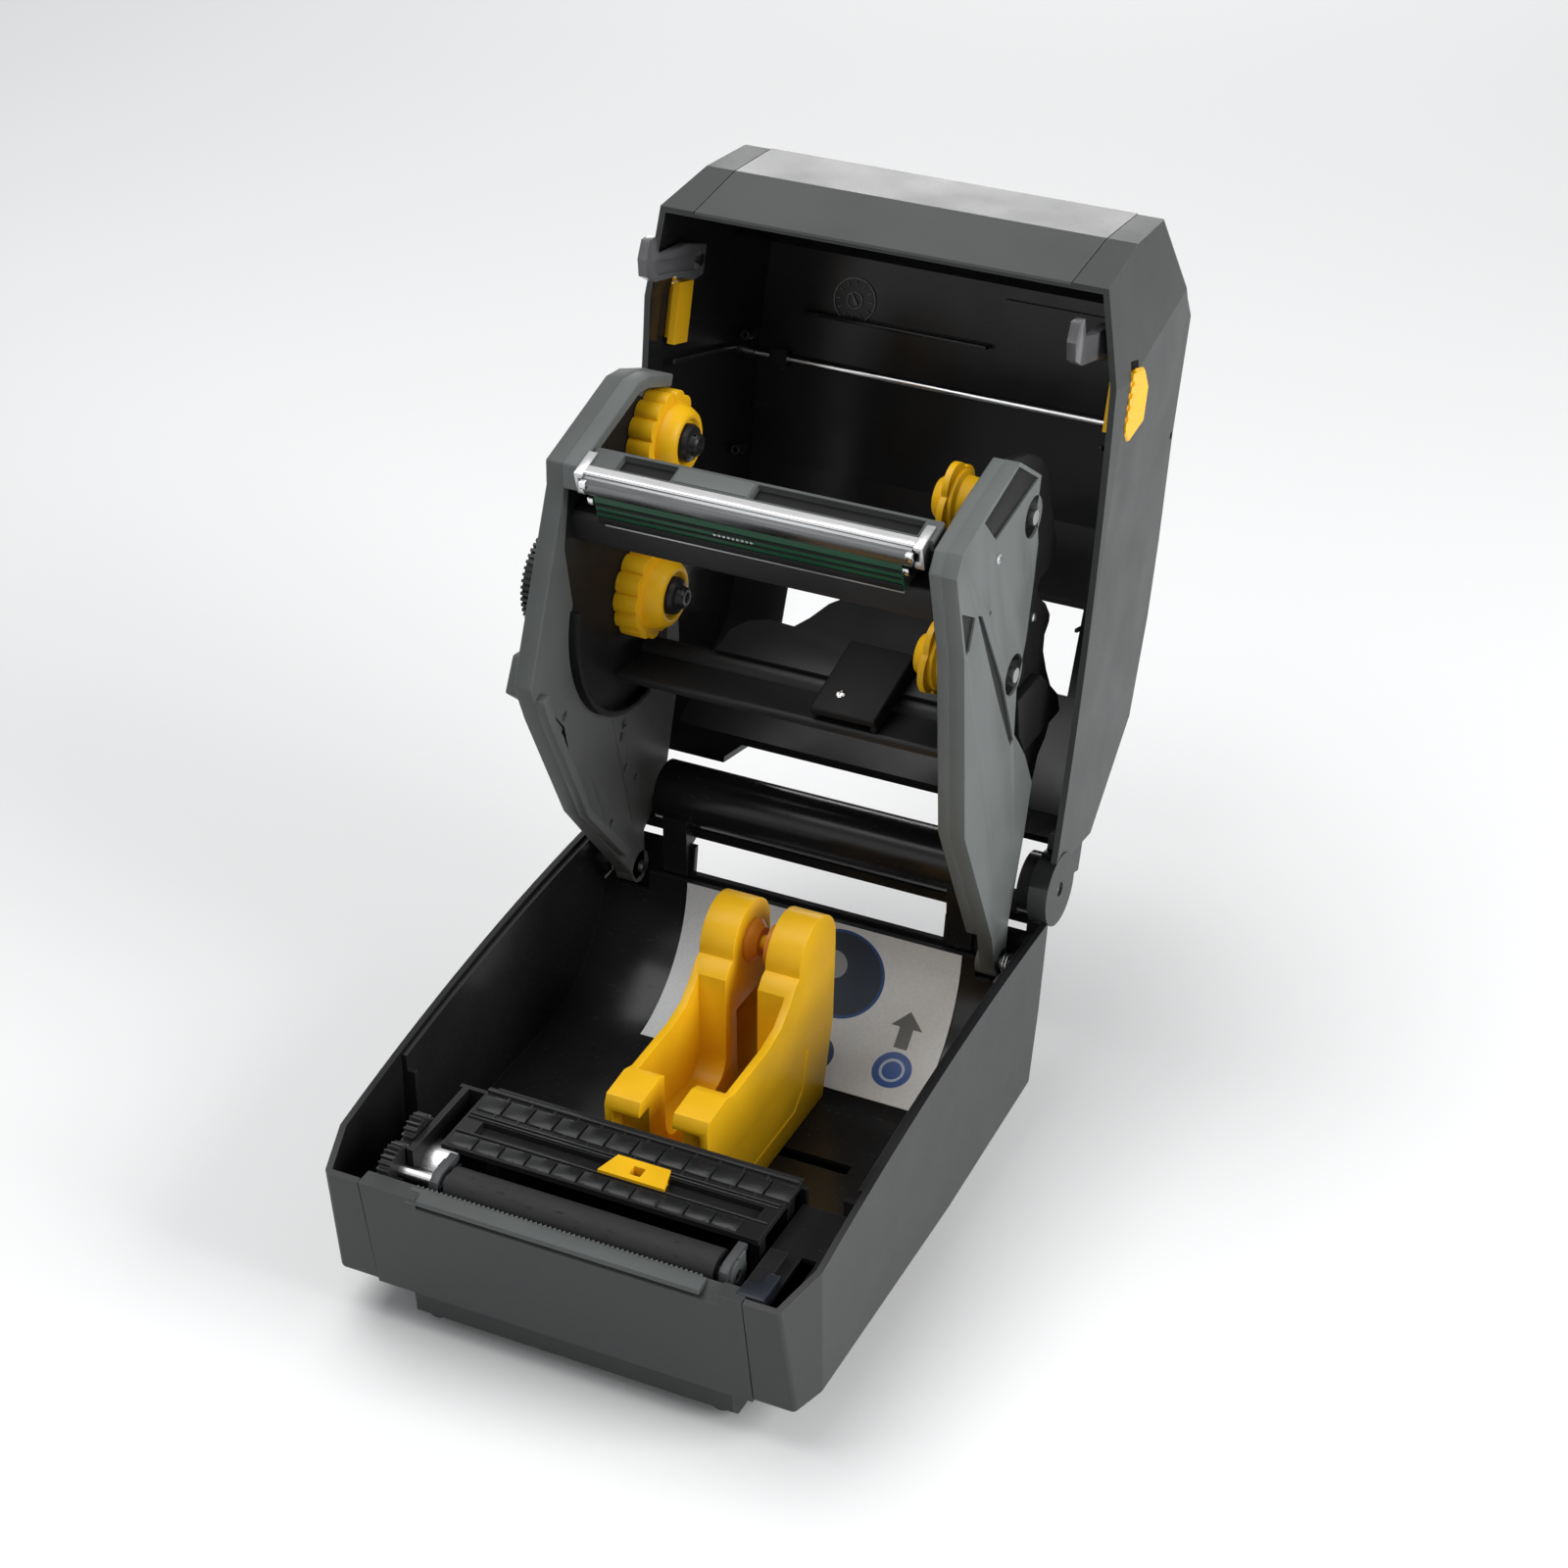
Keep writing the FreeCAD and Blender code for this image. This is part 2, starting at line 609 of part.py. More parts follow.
def tub_liner():
    """The glossy tub for the label roll: straight sides, a flat floor and a scooped rear."""
    liner = Body("tub_liner")
    front, floor = "tub_front", "tub_floor"
    top = f"({rim_height('tub_front')} - rim_drop)"
    back = f"({SCOOP_Y} + scoop_radius)"
    liner.pad(
        "YZ",
        f"-{TUB_HALF} - liner_wall",
        f"{TUB_HALF} + liner_wall",
        [
            (f"{front} - liner_wall", f"{floor} - liner_wall"),
            (SCOOP_Y, f"{floor} - liner_wall", "scoop_radius + liner_wall"),
            (f"{back} + liner_wall", SCOOP_Z),
            (f"{back} + liner_wall", f"{rim_height(back)} - rim_drop", "rim_radius"),
            (f"{front} - liner_wall", top),
        ],
    )
    liner.pocket(
        "YZ",
        f"-{TUB_HALF}",
        TUB_HALF,
        [
            (front, floor),
            (SCOOP_Y, floor, "scoop_radius"),
            (back, SCOOP_Z),
            (back, "2 * rim_rear"),
            (front, "2 * rim_rear"),
        ],
    )
    liner.block(
        (f"-{TUB_HALF}", f"{back} - 20", "slot_low - seam"),
        (TUB_HALF, f"{back} + 20", "2 * rim_rear"),
        cut=True,
    )
    liner.block(
        (f"-{TUB_HALF}", "0", "deck_top - deck_thick"), (TUB_HALF, "tub_front + 1", "2 * rim_rear"), cut=True
    )
    for x, low in (("-half_width + 8", "tub_floor + 3"), ("right_face - right_depth - 2", "deck_top - 16")):
        width = "left_depth + 12" if "-" in x[:1] else "right_depth + 6"
        liner.block((x, "0", low), (f"{x} + {width}", "tub_front + 1", "2 * rim_rear"), cut=True)
    for x in ("-left_face - 4", "right_face - right_depth - 3"):
        liner.block(
            (x, f"{PIVOT_Y} - 8", "pivot_z - 12"), (f"{x} + 15", f"{PIVOT_Y} + 20", "2 * rim_rear"), cut=True
        )
    boss = "(half_width - 10)"
    for start, length in ((boss, f"{TUB_HALF} - {boss}"), (f"-{TUB_HALF}", f"{TUB_HALF} - {boss}")):
        liner.rod("x", (start, PIVOT_Y, "pivot_z"), length, "pivot_radius + 3.5")
        liner.rod("x", (start, PIVOT_Y, "pivot_z"), length, "pivot_radius", cut=True)
    rack_slot = "(rack_teeth * rack_module / 2 + 3)"
    for side, sign in ((1, ""), (-1, "-")):
        low = f"guide_gap + {GUIDE_NECK[0]}"
        high = f"guide_gap + {GUIDE_NECK[1]} + guide_travel"
        x = (f"media_centre + {low} - 1", f"media_centre + {high} + 1")
        if side < 0:
            x = (f"media_centre - ({high}) - 1", f"media_centre - ({low}) + 1")
        y = f"{RACK_Y} + {side} * {rack_slot}"
        liner.block((x[0], f"{y} - 3", "0"), (x[1], f"{y} + 3", "tub_floor + 1"), cut=True)
    liner.rod(
        "z", ("media_centre", RACK_Y, "rack_base - 0.5"), "tub_floor - liner_wall - rack_base + 0.5", "2"
    )
    liner.finish("tub_liner", "base")


def media_deck():
    """The deck that guides the media to the platen: two rows of ribs and the sensor's groove."""
    deck = Body("media_deck")
    low = "deck_top - deck_thick"
    deck.block((DECK_LEFT, "deck_front", low), (DECK_RIGHT, "tub_front", "deck_top"))
    groove = (f"{DECK_LEFT} + 8", f"{DECK_RIGHT} - 6")
    trough = "deck_top - groove_depth - deck_thick"
    deck.block(
        (f"{groove[0]} - 2", "groove_front - 2", trough),
        (f"{groove[1]} + 2", "groove_front + groove_width + 2", low),
    )
    deck.block(
        (groove[0], "groove_front", "deck_top - groove_depth"),
        (groove[1], "groove_front + groove_width", "deck_top + 1"),
        cut=True,
    )
    rib_gap = "10"
    for front, rear in (
        ("deck_front + 1", "groove_front - 2"),
        ("groove_front + groove_width + 3", "tub_front - 2"),
    ):
        rib = deck.block(
            (f"{groove[0]} + 2", front, "deck_top"), (f"{groove[0]} + 2.8", rear, "deck_top + 0.6")
        )
        deck.along([rib], "x", f"{rib_gap} * 11", "12")
    lip = [
        ("tub_front - 1.5", "deck_top"),
        ("tub_front", "deck_top"),
        ("tub_front", "deck_top + 0.8"),
        ("tub_front - 1", "deck_top + 0.8"),
    ]
    deck.pad("YZ", f"{DECK_LEFT} + 4", f"{DECK_RIGHT}", lip)
    for x in (f"{DECK_LEFT} + 18", f"{DECK_RIGHT} - 5"):
        deck.block((x, "deck_front + 3", f"{FRAME_FLOOR} + 3"), (f"{x} + 4", "groove_front - 2.5", low))
        deck.block((x, "tub_front - 12", f"{FRAME_FLOOR} + 3"), (f"{x} + 4", "tub_front - 6", low))
    deck.finish("media_deck", "base")


def chassis_frame():
    """The inner frame: a floor, two uprights that cradle the platen's bearings, the gear plate
    with the idler's axle and the shelf with the receiver block on the right."""
    frame = Body("chassis_frame")
    plate = f"({GEAR_FACE} + 1)"
    floor_rear = "tub_front - liner_wall - 0.6"
    left_end = plate
    right_end = "(half_width - wall - 4.2)"
    frame.block((left_end, "bezel_foot + 1", FRAME_FLOOR), (right_end, floor_rear, f"{FRAME_FLOOR} + 3"))
    for low in (LEFT_BEARING, RIGHT_BEARING):
        frame.block(
            (low, "front_tuck + wall + 0.4", f"{FRAME_FLOOR} + 3"),
            (f"{low} + bearing_width", "platen_y + 9", "platen_z + 4"),
        )
        frame.rod(
            "x",
            (f"{low} - 1", "platen_y", "platen_z"),
            "bearing_width + 2",
            "bearing_radius + run_gap",
            cut=True,
        )
        frame.block(
            (f"{low} - 1", "platen_y - bearing_radius - run_gap", "platen_z"),
            (f"{low} + bearing_width + 1", "platen_y + bearing_radius + run_gap", "rim_front + 20"),
            cut=True,
        )
    frame.block((plate, "bezel_foot + 1", FRAME_FLOOR), (f"{plate} + 2.5", floor_rear, f"{IDLER_Z} + 4"))
    frame.rod("x", (f"{plate} - 0.5", "platen_y", "platen_z"), "4", "shaft_radius + 1.5", cut=True)
    frame.block(
        (f"{plate} - 1", "0", "platen_z"),
        (f"{plate} + 4", "platen_y + shaft_radius + 1.5", "rim_front + 20"),
        cut=True,
    )
    frame.rod(
        "x", (f"{plate} - 0.5", IDLER_Y, PINION_Z), "4", "gear_module * (pinion_teeth + 3) / 2", cut=True
    )
    frame.rod("x", ("0.1 - gear_plane", IDLER_Y, IDLER_Z), "gear_width + 3", "2")
    shelf = "(deck_top - 11)"
    frame.block((f"{DECK_RIGHT} + 1", "platen_y - 8", shelf), (right_end, floor_rear, f"{shelf} + 2"))
    frame.block(
        (f"{right_end} - 1.6", "bezel_foot + 12", f"{FRAME_FLOOR} + 3"),
        (right_end, floor_rear, shelf),
    )
    frame.block(
        (f"{DECK_RIGHT} + 1", "bezel_foot + 12", f"{FRAME_FLOOR} + 3"),
        (f"{DECK_RIGHT} + 3", floor_rear, shelf),
    )
    frame.block(
        (f"{DECK_RIGHT} + 3", "platen_y - 8", f"{shelf} + 2"), (
            f"{right_end} - 11",
            "platen_y + 14",
            f"{shelf} + 6",
        )
    )
    frame.block(
        (f"{right_end} - 7.5", "0", f"{shelf} - 1"),
        (f"{right_end} - 1.4", "tub_front - 30", f"{shelf} + 9"),
        cut=True,
    )
    frame.finish("chassis_frame", "base")


def hinge_beam():
    """The beam across the rear that the lid's ears turn on, bored at its ends for the pins."""
    beam = Body("hinge_beam")
    beam.rod("x", (f"-{BEAM_HALF}", "hinge_y", "hinge_z"), f"2 * {BEAM_HALF}", "beam_radius")
    foot_front = f"({REAR} - wall - seam - 5)"
    foot = [
        (foot_front, "slot_high - 12"),
        (f"{foot_front} + 1.3", "slot_high - 12"),
        (f"{foot_front} + 3.3", "slot_high"),
        ("hinge_y", "hinge_z - beam_radius + 1"),
        ("hinge_y", "hinge_z"),
        (f"{foot_front}", "hinge_z - 2"),
    ]
    for low in ("slot_half + 2", "-slot_half - 13"):
        beam.pad("YZ", low, f"{low} + 11", foot)
    beam.block(
        (f"-{BEAM_HALF}", "hinge_y - 8", "hinge_z - beam_radius - 2"), (
            BEAM_HALF,
            "hinge_y + 8",
            "hinge_z - beam_radius + 2",
        )
    )
    for low, high in (
        ("-left_face - 1", "left_depth + 1 - left_face"),
        ("right_face - right_depth - 1", "right_face + 1"),
    ):
        beam.block(
            (low, "hinge_y - beam_radius - 1", "hinge_z - beam_radius + 2"),
            (high, "hinge_y + beam_radius + 1", "hinge_z + beam_radius + 1"),
            cut=True,
        )
    beam.rod(
        "x",
        (f"-{BEAM_HALF} - 1", "hinge_y", "hinge_z"),
        f"2 * {BEAM_HALF} + 2",
        "pin_radius",
        cut=True,
    )
    beam.finish("hinge_beam", "base")


def loading_card():
    """The thin card stuck to the tub's scooped rear."""
    card = Body("loading_card")
    gap, thick = "0.05", "0.35"
    outer, inner = f"(scoop_radius - {gap})", f"(scoop_radius - {gap} - {thick})"
    drop, start = "12", "8"
    card.pad(
        "YZ",
        "-slot_half + 1",
        "slot_half - 1",
        [
            (f"{SCOOP_Y} + {start}", f"{SCOOP_Z} - sqrt({outer}^2 - {start}^2)", outer),
            (f"{SCOOP_Y} + sqrt({outer}^2 - {drop}^2)", f"{SCOOP_Z} - {drop}"),
            (f"{SCOOP_Y} + sqrt({inner}^2 - {drop}^2)", f"{SCOOP_Z} - {drop}", f"-{inner}"),
            (f"{SCOOP_Y} + {start}", f"{SCOOP_Z} - sqrt({inner}^2 - {start}^2)"),
        ],
    )
    card.finish("loading_card", "base")


def main_board():
    """The circuit board in the plinth, with its larger components."""
    board = Body("main_board")
    low = "(plinth_base + wall + 3)"
    front, rear = "plinth_front + 22", f"{REAR} - plinth_inset - 40"
    half = "(plinth_half - wall - 6)"
    board.block((f"-{half}", front, low), (half, rear, f"{low} + 1.6"))
    top = f"{low} + 1.6"
    for x, y, wide, deep, tall in (
        (-30, 60, 22, 22, 2),
        (12, 55, 14, 14, 1.6),
        (30, 58, 18, 26, 4),
        (-50, 110, 16, 30, 5),
    ):
        board.block(
            (x, f"plinth_front + {y}", top),
            (f"{x} + {wide}", f"plinth_front + {y} + {deep}", f"{top} + {tall}"),
        )
    for x in (f"-{half} + 4", f"{half} - 4"):
        for y in (f"{front} + 4", f"{rear} - 4"):
            board.rod("z", (x, y, "plinth_base + wall"), "3", "2.5")
    board.finish("main_board", "base")


def stepper_motor():
    """The stepping motor behind the gear plate, under the deck."""
    motor = Body("stepper_motor")
    low = f"({GEAR_FACE} + 3.5)"
    motor.rod("x", (low, IDLER_Y, PINION_Z), "motor_length", "motor_radius")
    motor.rod("x", (f"{low} - 1", IDLER_Y, PINION_Z), "motor_length + 2", "4")
    motor.rod("x", ("-gear_plane - seam", IDLER_Y, PINION_Z), f"{low} + gear_plane + seam", "motor_shaft")
    motor.finish("stepper_motor", "base")


def rear_panel():
    """The connector panel in the rear wall, with an opening for each socket and the switch."""
    panel = Body("rear_panel")
    panel.block(("-io_half", IO_FRONT, "io_low"), ("io_half", IO_FACE, "io_high"))
    for low, high in IO_OPENINGS:
        panel.block(
            (low, f"{IO_FRONT} - 1", "io_low + 6"),
            (high, f"{IO_FACE} + 1", "io_high - 5"),
            cut=True,
        )
    panel.rod("y", ("io_half - 12", f"{IO_FRONT} - 1", IO_MIDDLE), "6", "inlet_radius", cut=True)
    panel.finish("rear_panel", "base")


def power_inlet():
    """The round low-voltage inlet with its centre contact."""
    inlet = Body("power_inlet")
    inlet.rod("y", ("io_half - 12", f"{IO_FRONT} - 2", IO_MIDDLE), "4.5", "inlet_radius - 0.1")
    inlet.rod("y", ("io_half - 12", IO_FRONT, IO_MIDDLE), "10", "inlet_radius - 2.5", cut=True)
    inlet.rod("y", ("io_half - 12", f"{IO_FRONT} - 0.5", IO_MIDDLE), "3", "1")
    inlet.finish("power_inlet", "base")


def data_ports():
    """Three data sockets of different widths behind the connector panel."""
    solids = []
    for low, high in IO_OPENINGS[1:]:
        case = box(
            (f"{low} + 0.15", f"{IO_FRONT} - 2", "io_low + 6.15"),
            (f"{high} - 0.15", f"{IO_FACE} - 0.3", "io_high - 5.15"),
        )
        mouth = box(
            (f"{low} + 1.5", IO_FRONT, "io_low + 7.5"),
            (f"{high} - 1.5", f"{IO_FACE} + 1", "io_high - 6.5"),
        )
        socket = doc.addObject("Part::Cut", "Socket")
        socket.Base = case
        socket.Tool = mouth
        solids.append(socket)
    group_of(solids, "data_ports", "base")


def power_switch():
    """The rocker of the power switch, on a pivot along X."""
    rocker = Body("power_switch")
    low, high = IO_OPENINGS[0]
    radius = "((io_high - io_low) / 2 - 6)"
    rocker.rod("x", (f"{low} + 0.3", "0", "0"), f"{high} - ({low}) - 0.6", radius)
    rocker.block((low, f"{radius} - 0.8", "-0.6"), (high, f"{radius} + 1", "0.6"), cut=True)
    rocker.finish("power_switch", "base", ("0", f"{IO_FACE} - {radius} + 1.5", IO_MIDDLE))


def pivot_pins():
    """Steel pins for the lid's ears and for the carriage's frames."""
    lid_length = f"half_width - 1 - {BEAM_HALF} + 4"
    carriage_length = f"{TUB_HALF} - right_face + right_depth + 1"
    group_of(
        [
            cylinder("x", (f"{BEAM_HALF} - 4", "hinge_y", "hinge_z"), lid_length, "pin_radius"),
            cylinder("x", ("1 - half_width", "hinge_y", "hinge_z"), lid_length, "pin_radius"),
            cylinder(
                "x",
                (f"{TUB_HALF} - ({carriage_length})", PIVOT_Y, "pivot_z"),
                carriage_length,
                "pivot_radius",
            ),
            cylinder("x", (f"-{TUB_HALF}", PIVOT_Y, "pivot_z"), carriage_length, "pivot_radius"),
        ],
        "pivot_pins",
        "base",
    )


def coil(low, length, turns, mean, wire):
    """A helical spring about X that starts at the origin plane."""
    helix = Part.makeHelix(length / turns, length, mean)
    start = FreeCAD.Vector(mean, 0, 0)
    section = Part.Wire([Part.Circle(start, FreeCAD.Vector(0, 1, 0), wire).toShape()])
    solid = Part.Wire(helix.Edges).makePipeShell([section], True, True)
    solid.rotate(FreeCAD.Vector(), FreeCAD.Vector(0, 1, 0), 90)
    solid.translate(FreeCAD.Vector(*low))
    return solid


def shaped(label, shapes, group):
    """A piece made with Part's own functions from the sheet's values."""
    feature = doc.addObject("Part::Feature", "Shaped")
    feature.Shape = Part.makeCompound(shapes) if len(shapes) > 1 else shapes[0]
    settle(feature, label, group)


def pivot_springs():
    """A torsion spring on each carriage pin, with a leg that rises to a hook."""
    wire, mean = 0.6, worth("pivot_radius") + 1.3
    length = worth("half_width - 10 - left_face - 4 * seam")
    y, z = worth(PIVOT_Y), worth("pivot_z")
    springs = []
    for low in (worth("right_face + 2 * seam"), worth("-left_face - 2 * seam") - length):
        turns = coil((low, y, z), length, 2.5, mean, wire)
        foot = FreeCAD.Vector(low, y, z - mean)
        leg = Part.makeCylinder(wire, 9, foot, FreeCAD.Vector(0, -1, 0))
        springs.append(turns.fuse(leg))
    shaped("pivot_springs", springs, "base")


def case_screws():
    """The four screws that hold the plinth to the casing."""
    solids = []
    for x, y in SCREW_SPOTS:
        head = cylinder("z", (x, y, "plinth_base + 0.4"), "1.8", "2 * screw_radius")
        shank = cylinder(
            "z",
            (x, y, "plinth_base + 2.2"),
            "under_height + wall - plinth_base - 2.2",
            "screw_radius",
        )
        screw = doc.addObject("Part::MultiFuse", "Screw")
        screw.Shapes = [head, shank]
        solids.append(screw)
    group_of(solids, "case_screws", "base")


def gear(label, teeth, module, width, phase, bore, place):
    """A spur gear on the X axis with one tooth at the phase angle, measured from +Y."""
    wheel = Body(label)
    wheel.rod("x", ("0", "0", "0"), width, f"{module} * ({teeth} / 2 - 1.1)")
    corners = [(-1.2, -1.0), (0.85, -0.3), (0.85, 0.3), (-1.2, 1.0)]
    outline = []
    for out, aside in corners:
        reach, side = f"{module} * ({teeth} / 2 + {out})", f"{module} * {aside}"
        outline.append(
            (
                f"{reach} * cos({phase}) - {side} * sin({phase})",
                f"{reach} * sin({phase}) + {side} * cos({phase})",
            )
        )
    wheel.around([wheel.pad("YZ", "0", width, outline)], teeth)
    wheel.rod("x", ("-1", "0", "0"), f"{width} + 2", bore, cut=True)
    wheel.finish(label, "base", place)
    return wheel


def platen_and_drive():
    """The platen, its bearings and the gear train from the motor."""
    right_end = f"({RIGHT_BEARING} + bearing_width + 1)"
    shaft = Body("platen_shaft")
    shaft.rod("x", ("-gear_plane - seam", "0", "0"), f"gear_plane + seam + {right_end}", "shaft_radius")
    shaft.finish("platen_shaft", "base", ("0", "platen_y", "platen_z"))
    roller = Body("platen_roller")
    roller.rod("x", ("media_centre - media_half", "0", "0"), "2 * media_half", "platen_radius")
    roller.rod("x", ("-half_width", "0", "0"), "2 * half_width", "shaft_radius", cut=True)
    roller.finish("platen_roller", "base", ("0", "platen_y", "platen_z"))
    at = "-gear_plane"
    gear(
        "platen_gear",
        "platen_teeth",
        "gear_module",
        "gear_width",
        "idler_rise",
        "shaft_radius",
        (at, "platen_y", "platen_z"),
    )
    idler_phase = "(idler_rise + 180 + 180 / idler_teeth)"
    gear(
        "idler_gear",
        "idler_teeth",
        "gear_module",
        "gear_width",
        idler_phase,
        "2 + run_gap",
        (at, IDLER_Y, IDLER_Z),
    )
    step = f"mod({idler_phase} - 270; 360 / idler_teeth)"
    pinion_phase = f"(90 + 180 / pinion_teeth - {step} * idler_teeth / pinion_teeth)"
    gear(
        "motor_pinion",
        "pinion_teeth",
        "gear_module",
        "gear_width",
        pinion_phase,
        "motor_shaft + run_gap",
        (at, IDLER_Y, PINION_Z),
    )
    for label, low, tab in (
        ("bearing_left", LEFT_BEARING, f"{LEFT_BEARING} - 1.5"),
        ("bearing_right", RIGHT_BEARING, f"{RIGHT_BEARING} + bearing_width"),
    ):
        bearing = Body(label)
        bearing.rod("x", (low, "0", "0"), "bearing_width", "bearing_radius")
        bearing.rod("x", (tab, "0", "0"), "1.5", "bearing_radius + 1.5")
        bearing.block((tab, "1", "3"), (f"{tab} + 1.5", "6", "platen_radius - 1"))
        bearing.rod("x", (f"{low} - 2", "0", "0"), "bearing_width + 4", "shaft_radius + run_gap", cut=True)
        bearing.finish(label, "base", ("0", "platen_y", "platen_z"))


def media_sensor():
    """The sliding sensor: a tapered plate with a square hole, on a foot that runs in the groove."""
    sensor = Body("media_sensor")
    low, high = "groove_front + 0.3", "groove_front + groove_width - 0.3"
    sensor.block(("-11", low, "deck_top - groove_depth + 0.1"), ("11", high, "deck_top + 0.8"))
    sensor.pad(
        "XY",
        "deck_top + 0.8",
        "deck_top + 2.2",
        [
            ("-14", "groove_front - 1"),
            ("14", "groove_front - 1"),
            ("11", "groove_front + groove_width + 2"),
            ("-11", "groove_front + groove_width + 2"),
        ],
    )
    sensor.block(("-2.5", f"{low} + 1.2", "0"), ("2.5", f"{low} + 6.2", "2 * deck_top"), cut=True)
    sensor.finish("media_sensor", "base", ("media_centre + 9", "0", "0"))


def roll_guide(label, side):
    """One of the two sliding arms that hold the label roll's core, with its rack below."""
    guide = Body(label)
    floor = "(tub_floor + 0.3)"
    front = "(tub_front + 8)"
    arm = "17"
    outline = [
        (front, floor),
        (front, f"{floor} + 54"),
        (f"{front} + 4", f"{floor} + 58"),
        (f"{front} + 18", f"{floor} + 58"),
        (f"{front} + 26", f"{floor} + 53"),
        (f"{front} + 56", "guide_z - 15"),
        (f"guide_y - sqrt({arm}^2 - 16)", "guide_z + 4", f"-{arm}"),
        (f"guide_y + sqrt({arm}^2 - 16)", "guide_z + 4"),
        (f"guide_y + {arm} - 3", f"{floor} + 30"),
        (f"{SCOOP_Y} + 4", floor),
    ]
    inner = "(guide_gap)" if side > 0 else "(-guide_gap - guide_thick)"
    guide.pad("YZ", inner, f"{inner} + guide_thick", outline)
    pocket_low = "(guide_gap - 1)" if side > 0 else "(-guide_gap - guide_thick + 3)"
    cells = (
        [
            (f"{front} + 4", f"{floor} + 5"),
            (f"{front} + 34", f"{floor} + 5"),
            (f"{front} + 34", f"{floor} + 46"),
            (f"{front} + 4", f"{floor} + 50"),
        ],
        [
            (f"{front} + 37", f"{floor} + 5"),
            (f"{front} + 66", f"{floor} + 5"),
            (f"{front} + 66", f"{floor} + 58"),
            (f"{front} + 37", f"{floor} + 50"),
        ],
        [
            (f"{front} + 69", f"{floor} + 5"),
            (f"{SCOOP_Y} + 4", f"{floor} + 5"),
            ("guide_y + 10", f"{floor} + 36"),
            (f"{front} + 69", f"{floor} + 50"),
        ],
    )
    for cell in cells:
        guide.pocket("YZ", pocket_low, f"{pocket_low} + guide_thick - 2", cell)
    axle = "(guide_gap - 4.2)" if side > 0 else "(-guide_gap)"
    guide.rod("x", (axle, "guide_y", "guide_z"), "4.2", "2.5")
    pitch = "(rack_teeth * rack_module / 2)"
    neck_low = f"guide_gap + {GUIDE_NECK[0]}" if side > 0 else f"-guide_gap - {GUIDE_NECK[1]}"
    neck_high = f"guide_gap + {GUIDE_NECK[1]}" if side > 0 else f"-guide_gap - {GUIDE_NECK[0]}"
    back = (f"{RACK_Y} + {side} * ({pitch} + rack_module * 1.2)", f"{RACK_Y} + {side} * ({pitch} + 5)")
    low_y, high_y = back if side > 0 else back[::-1]
    guide.block((neck_low, low_y, "rack_base"), (neck_high, high_y, f"{floor} + 1"))
    start, end = ("-guide_travel - 6", neck_high) if side > 0 else (neck_low, "guide_travel + 6")
    guide.block((start, low_y, "rack_base"), (end, high_y, "rack_base + rack_tall"))
    step = "(pi * rack_module)"
    count = 16
    first = f"-{count - 3}.5 * {step}" if side > 0 else f"-1.5 * {step}"
    tooth = guide.pad(
        "XY",
        "rack_base",
        "rack_base + rack_tall",
        [
            (f"{first} - rack_module", f"{RACK_Y} + {side} * ({pitch} + rack_module * 1.3)"),
            (f"{first} - rack_module * 0.3", f"{RACK_Y} + {side} * ({pitch} - rack_module * 0.8)"),
            (f"{first} + rack_module * 0.3", f"{RACK_Y} + {side} * ({pitch} - rack_module * 0.8)"),
            (f"{first} + rack_module", f"{RACK_Y} + {side} * ({pitch} + rack_module * 1.3)"),
        ],
    )
    guide.along([tooth], "x", f"{count - 1} * {step}", count)
    guide.finish(label, "base", ("media_centre", "0", "0"))


def core_hub(label, side):
    """The round hub that the roll's core sits on, turned on its guide's axle."""
    hub = Body(label)
    hub.turn(
        [
            ("0", "2.5 + run_gap"),
            ("4.6", "2.5 + run_gap"),
            ("4.6", "core_radius - 3"),
            ("1.6", "core_radius"),
            ("0", "core_radius"),
        ],
    )
    x = "media_centre + guide_gap - 4.8" if side > 0 else "media_centre - guide_gap + 0.2"
    hub.finish(label, "base", (x, "guide_y", "guide_z"))


def guide_pinion():
    """The pinion under the tub's floor that moves the two guides together."""
    wheel = gear(
        "guide_pinion", "rack_teeth", "rack_module", "rack_tall", "0", "2 + run_gap", (
            "media_centre",
            RACK_Y,
            "rack_base",
        )
    )
    wheel.body.Placement = FreeCAD.Placement(
        FreeCAD.Vector(), FreeCAD.Rotation(FreeCAD.Vector(0, 1, 0), -90)
    )


LID_FRONT = "2"
LID_REAR = f"({REAR} - 4)"
LID_FALL = f"({REAR} - 45)"
EAR = "(half_width - ear_width)"
PANEL_END = ("7 - lid_nose + 5", "nose_high + 11.64")
CONTROL_LOW, CONTROL_HIGH = ("16", "30"), ("76", "62")
HOOK_Y, HOOK_Z = "25", "106"
LATCH_Y = "36"
LATCH_Z = "101"
LATCH_LONG = "22"
LATCH_TALL = "8"
BUTTON_Y = "40"
HUB_AXES = (("takeup_y", "takeup_z"), ("supply_y", "supply_z"))


def lid_side(inset):
    """The shut lid seen from the side, inset from its outer faces; its rim follows the base's."""
    return [
        (f"{LID_FRONT} + {inset}", "rim_front + seam"),
        (f"7 - lid_nose + {inset}", "nose_low"),
        (f"{inset} - lid_nose", "nose_high"),
        (f"14 + {inset}", f"lid_top - 10 - {inset}"),
        (f"22 + {inset}", f"lid_top - {inset}"),
        ("72", f"lid_top - {inset}"),
        ("crown_front", f"lid_crown - {inset}"),
        ("window_front", f"lid_crown + 1 - {inset}"),
        (f"{LID_FALL} - {inset}", f"lid_crown - 4 - {inset}"),
        (f"{LID_REAR} - {inset}", f"lid_crown - 40"),
        (f"{REAR} - {inset}", "rim_rear + seam", "rim_radius"),
    ]


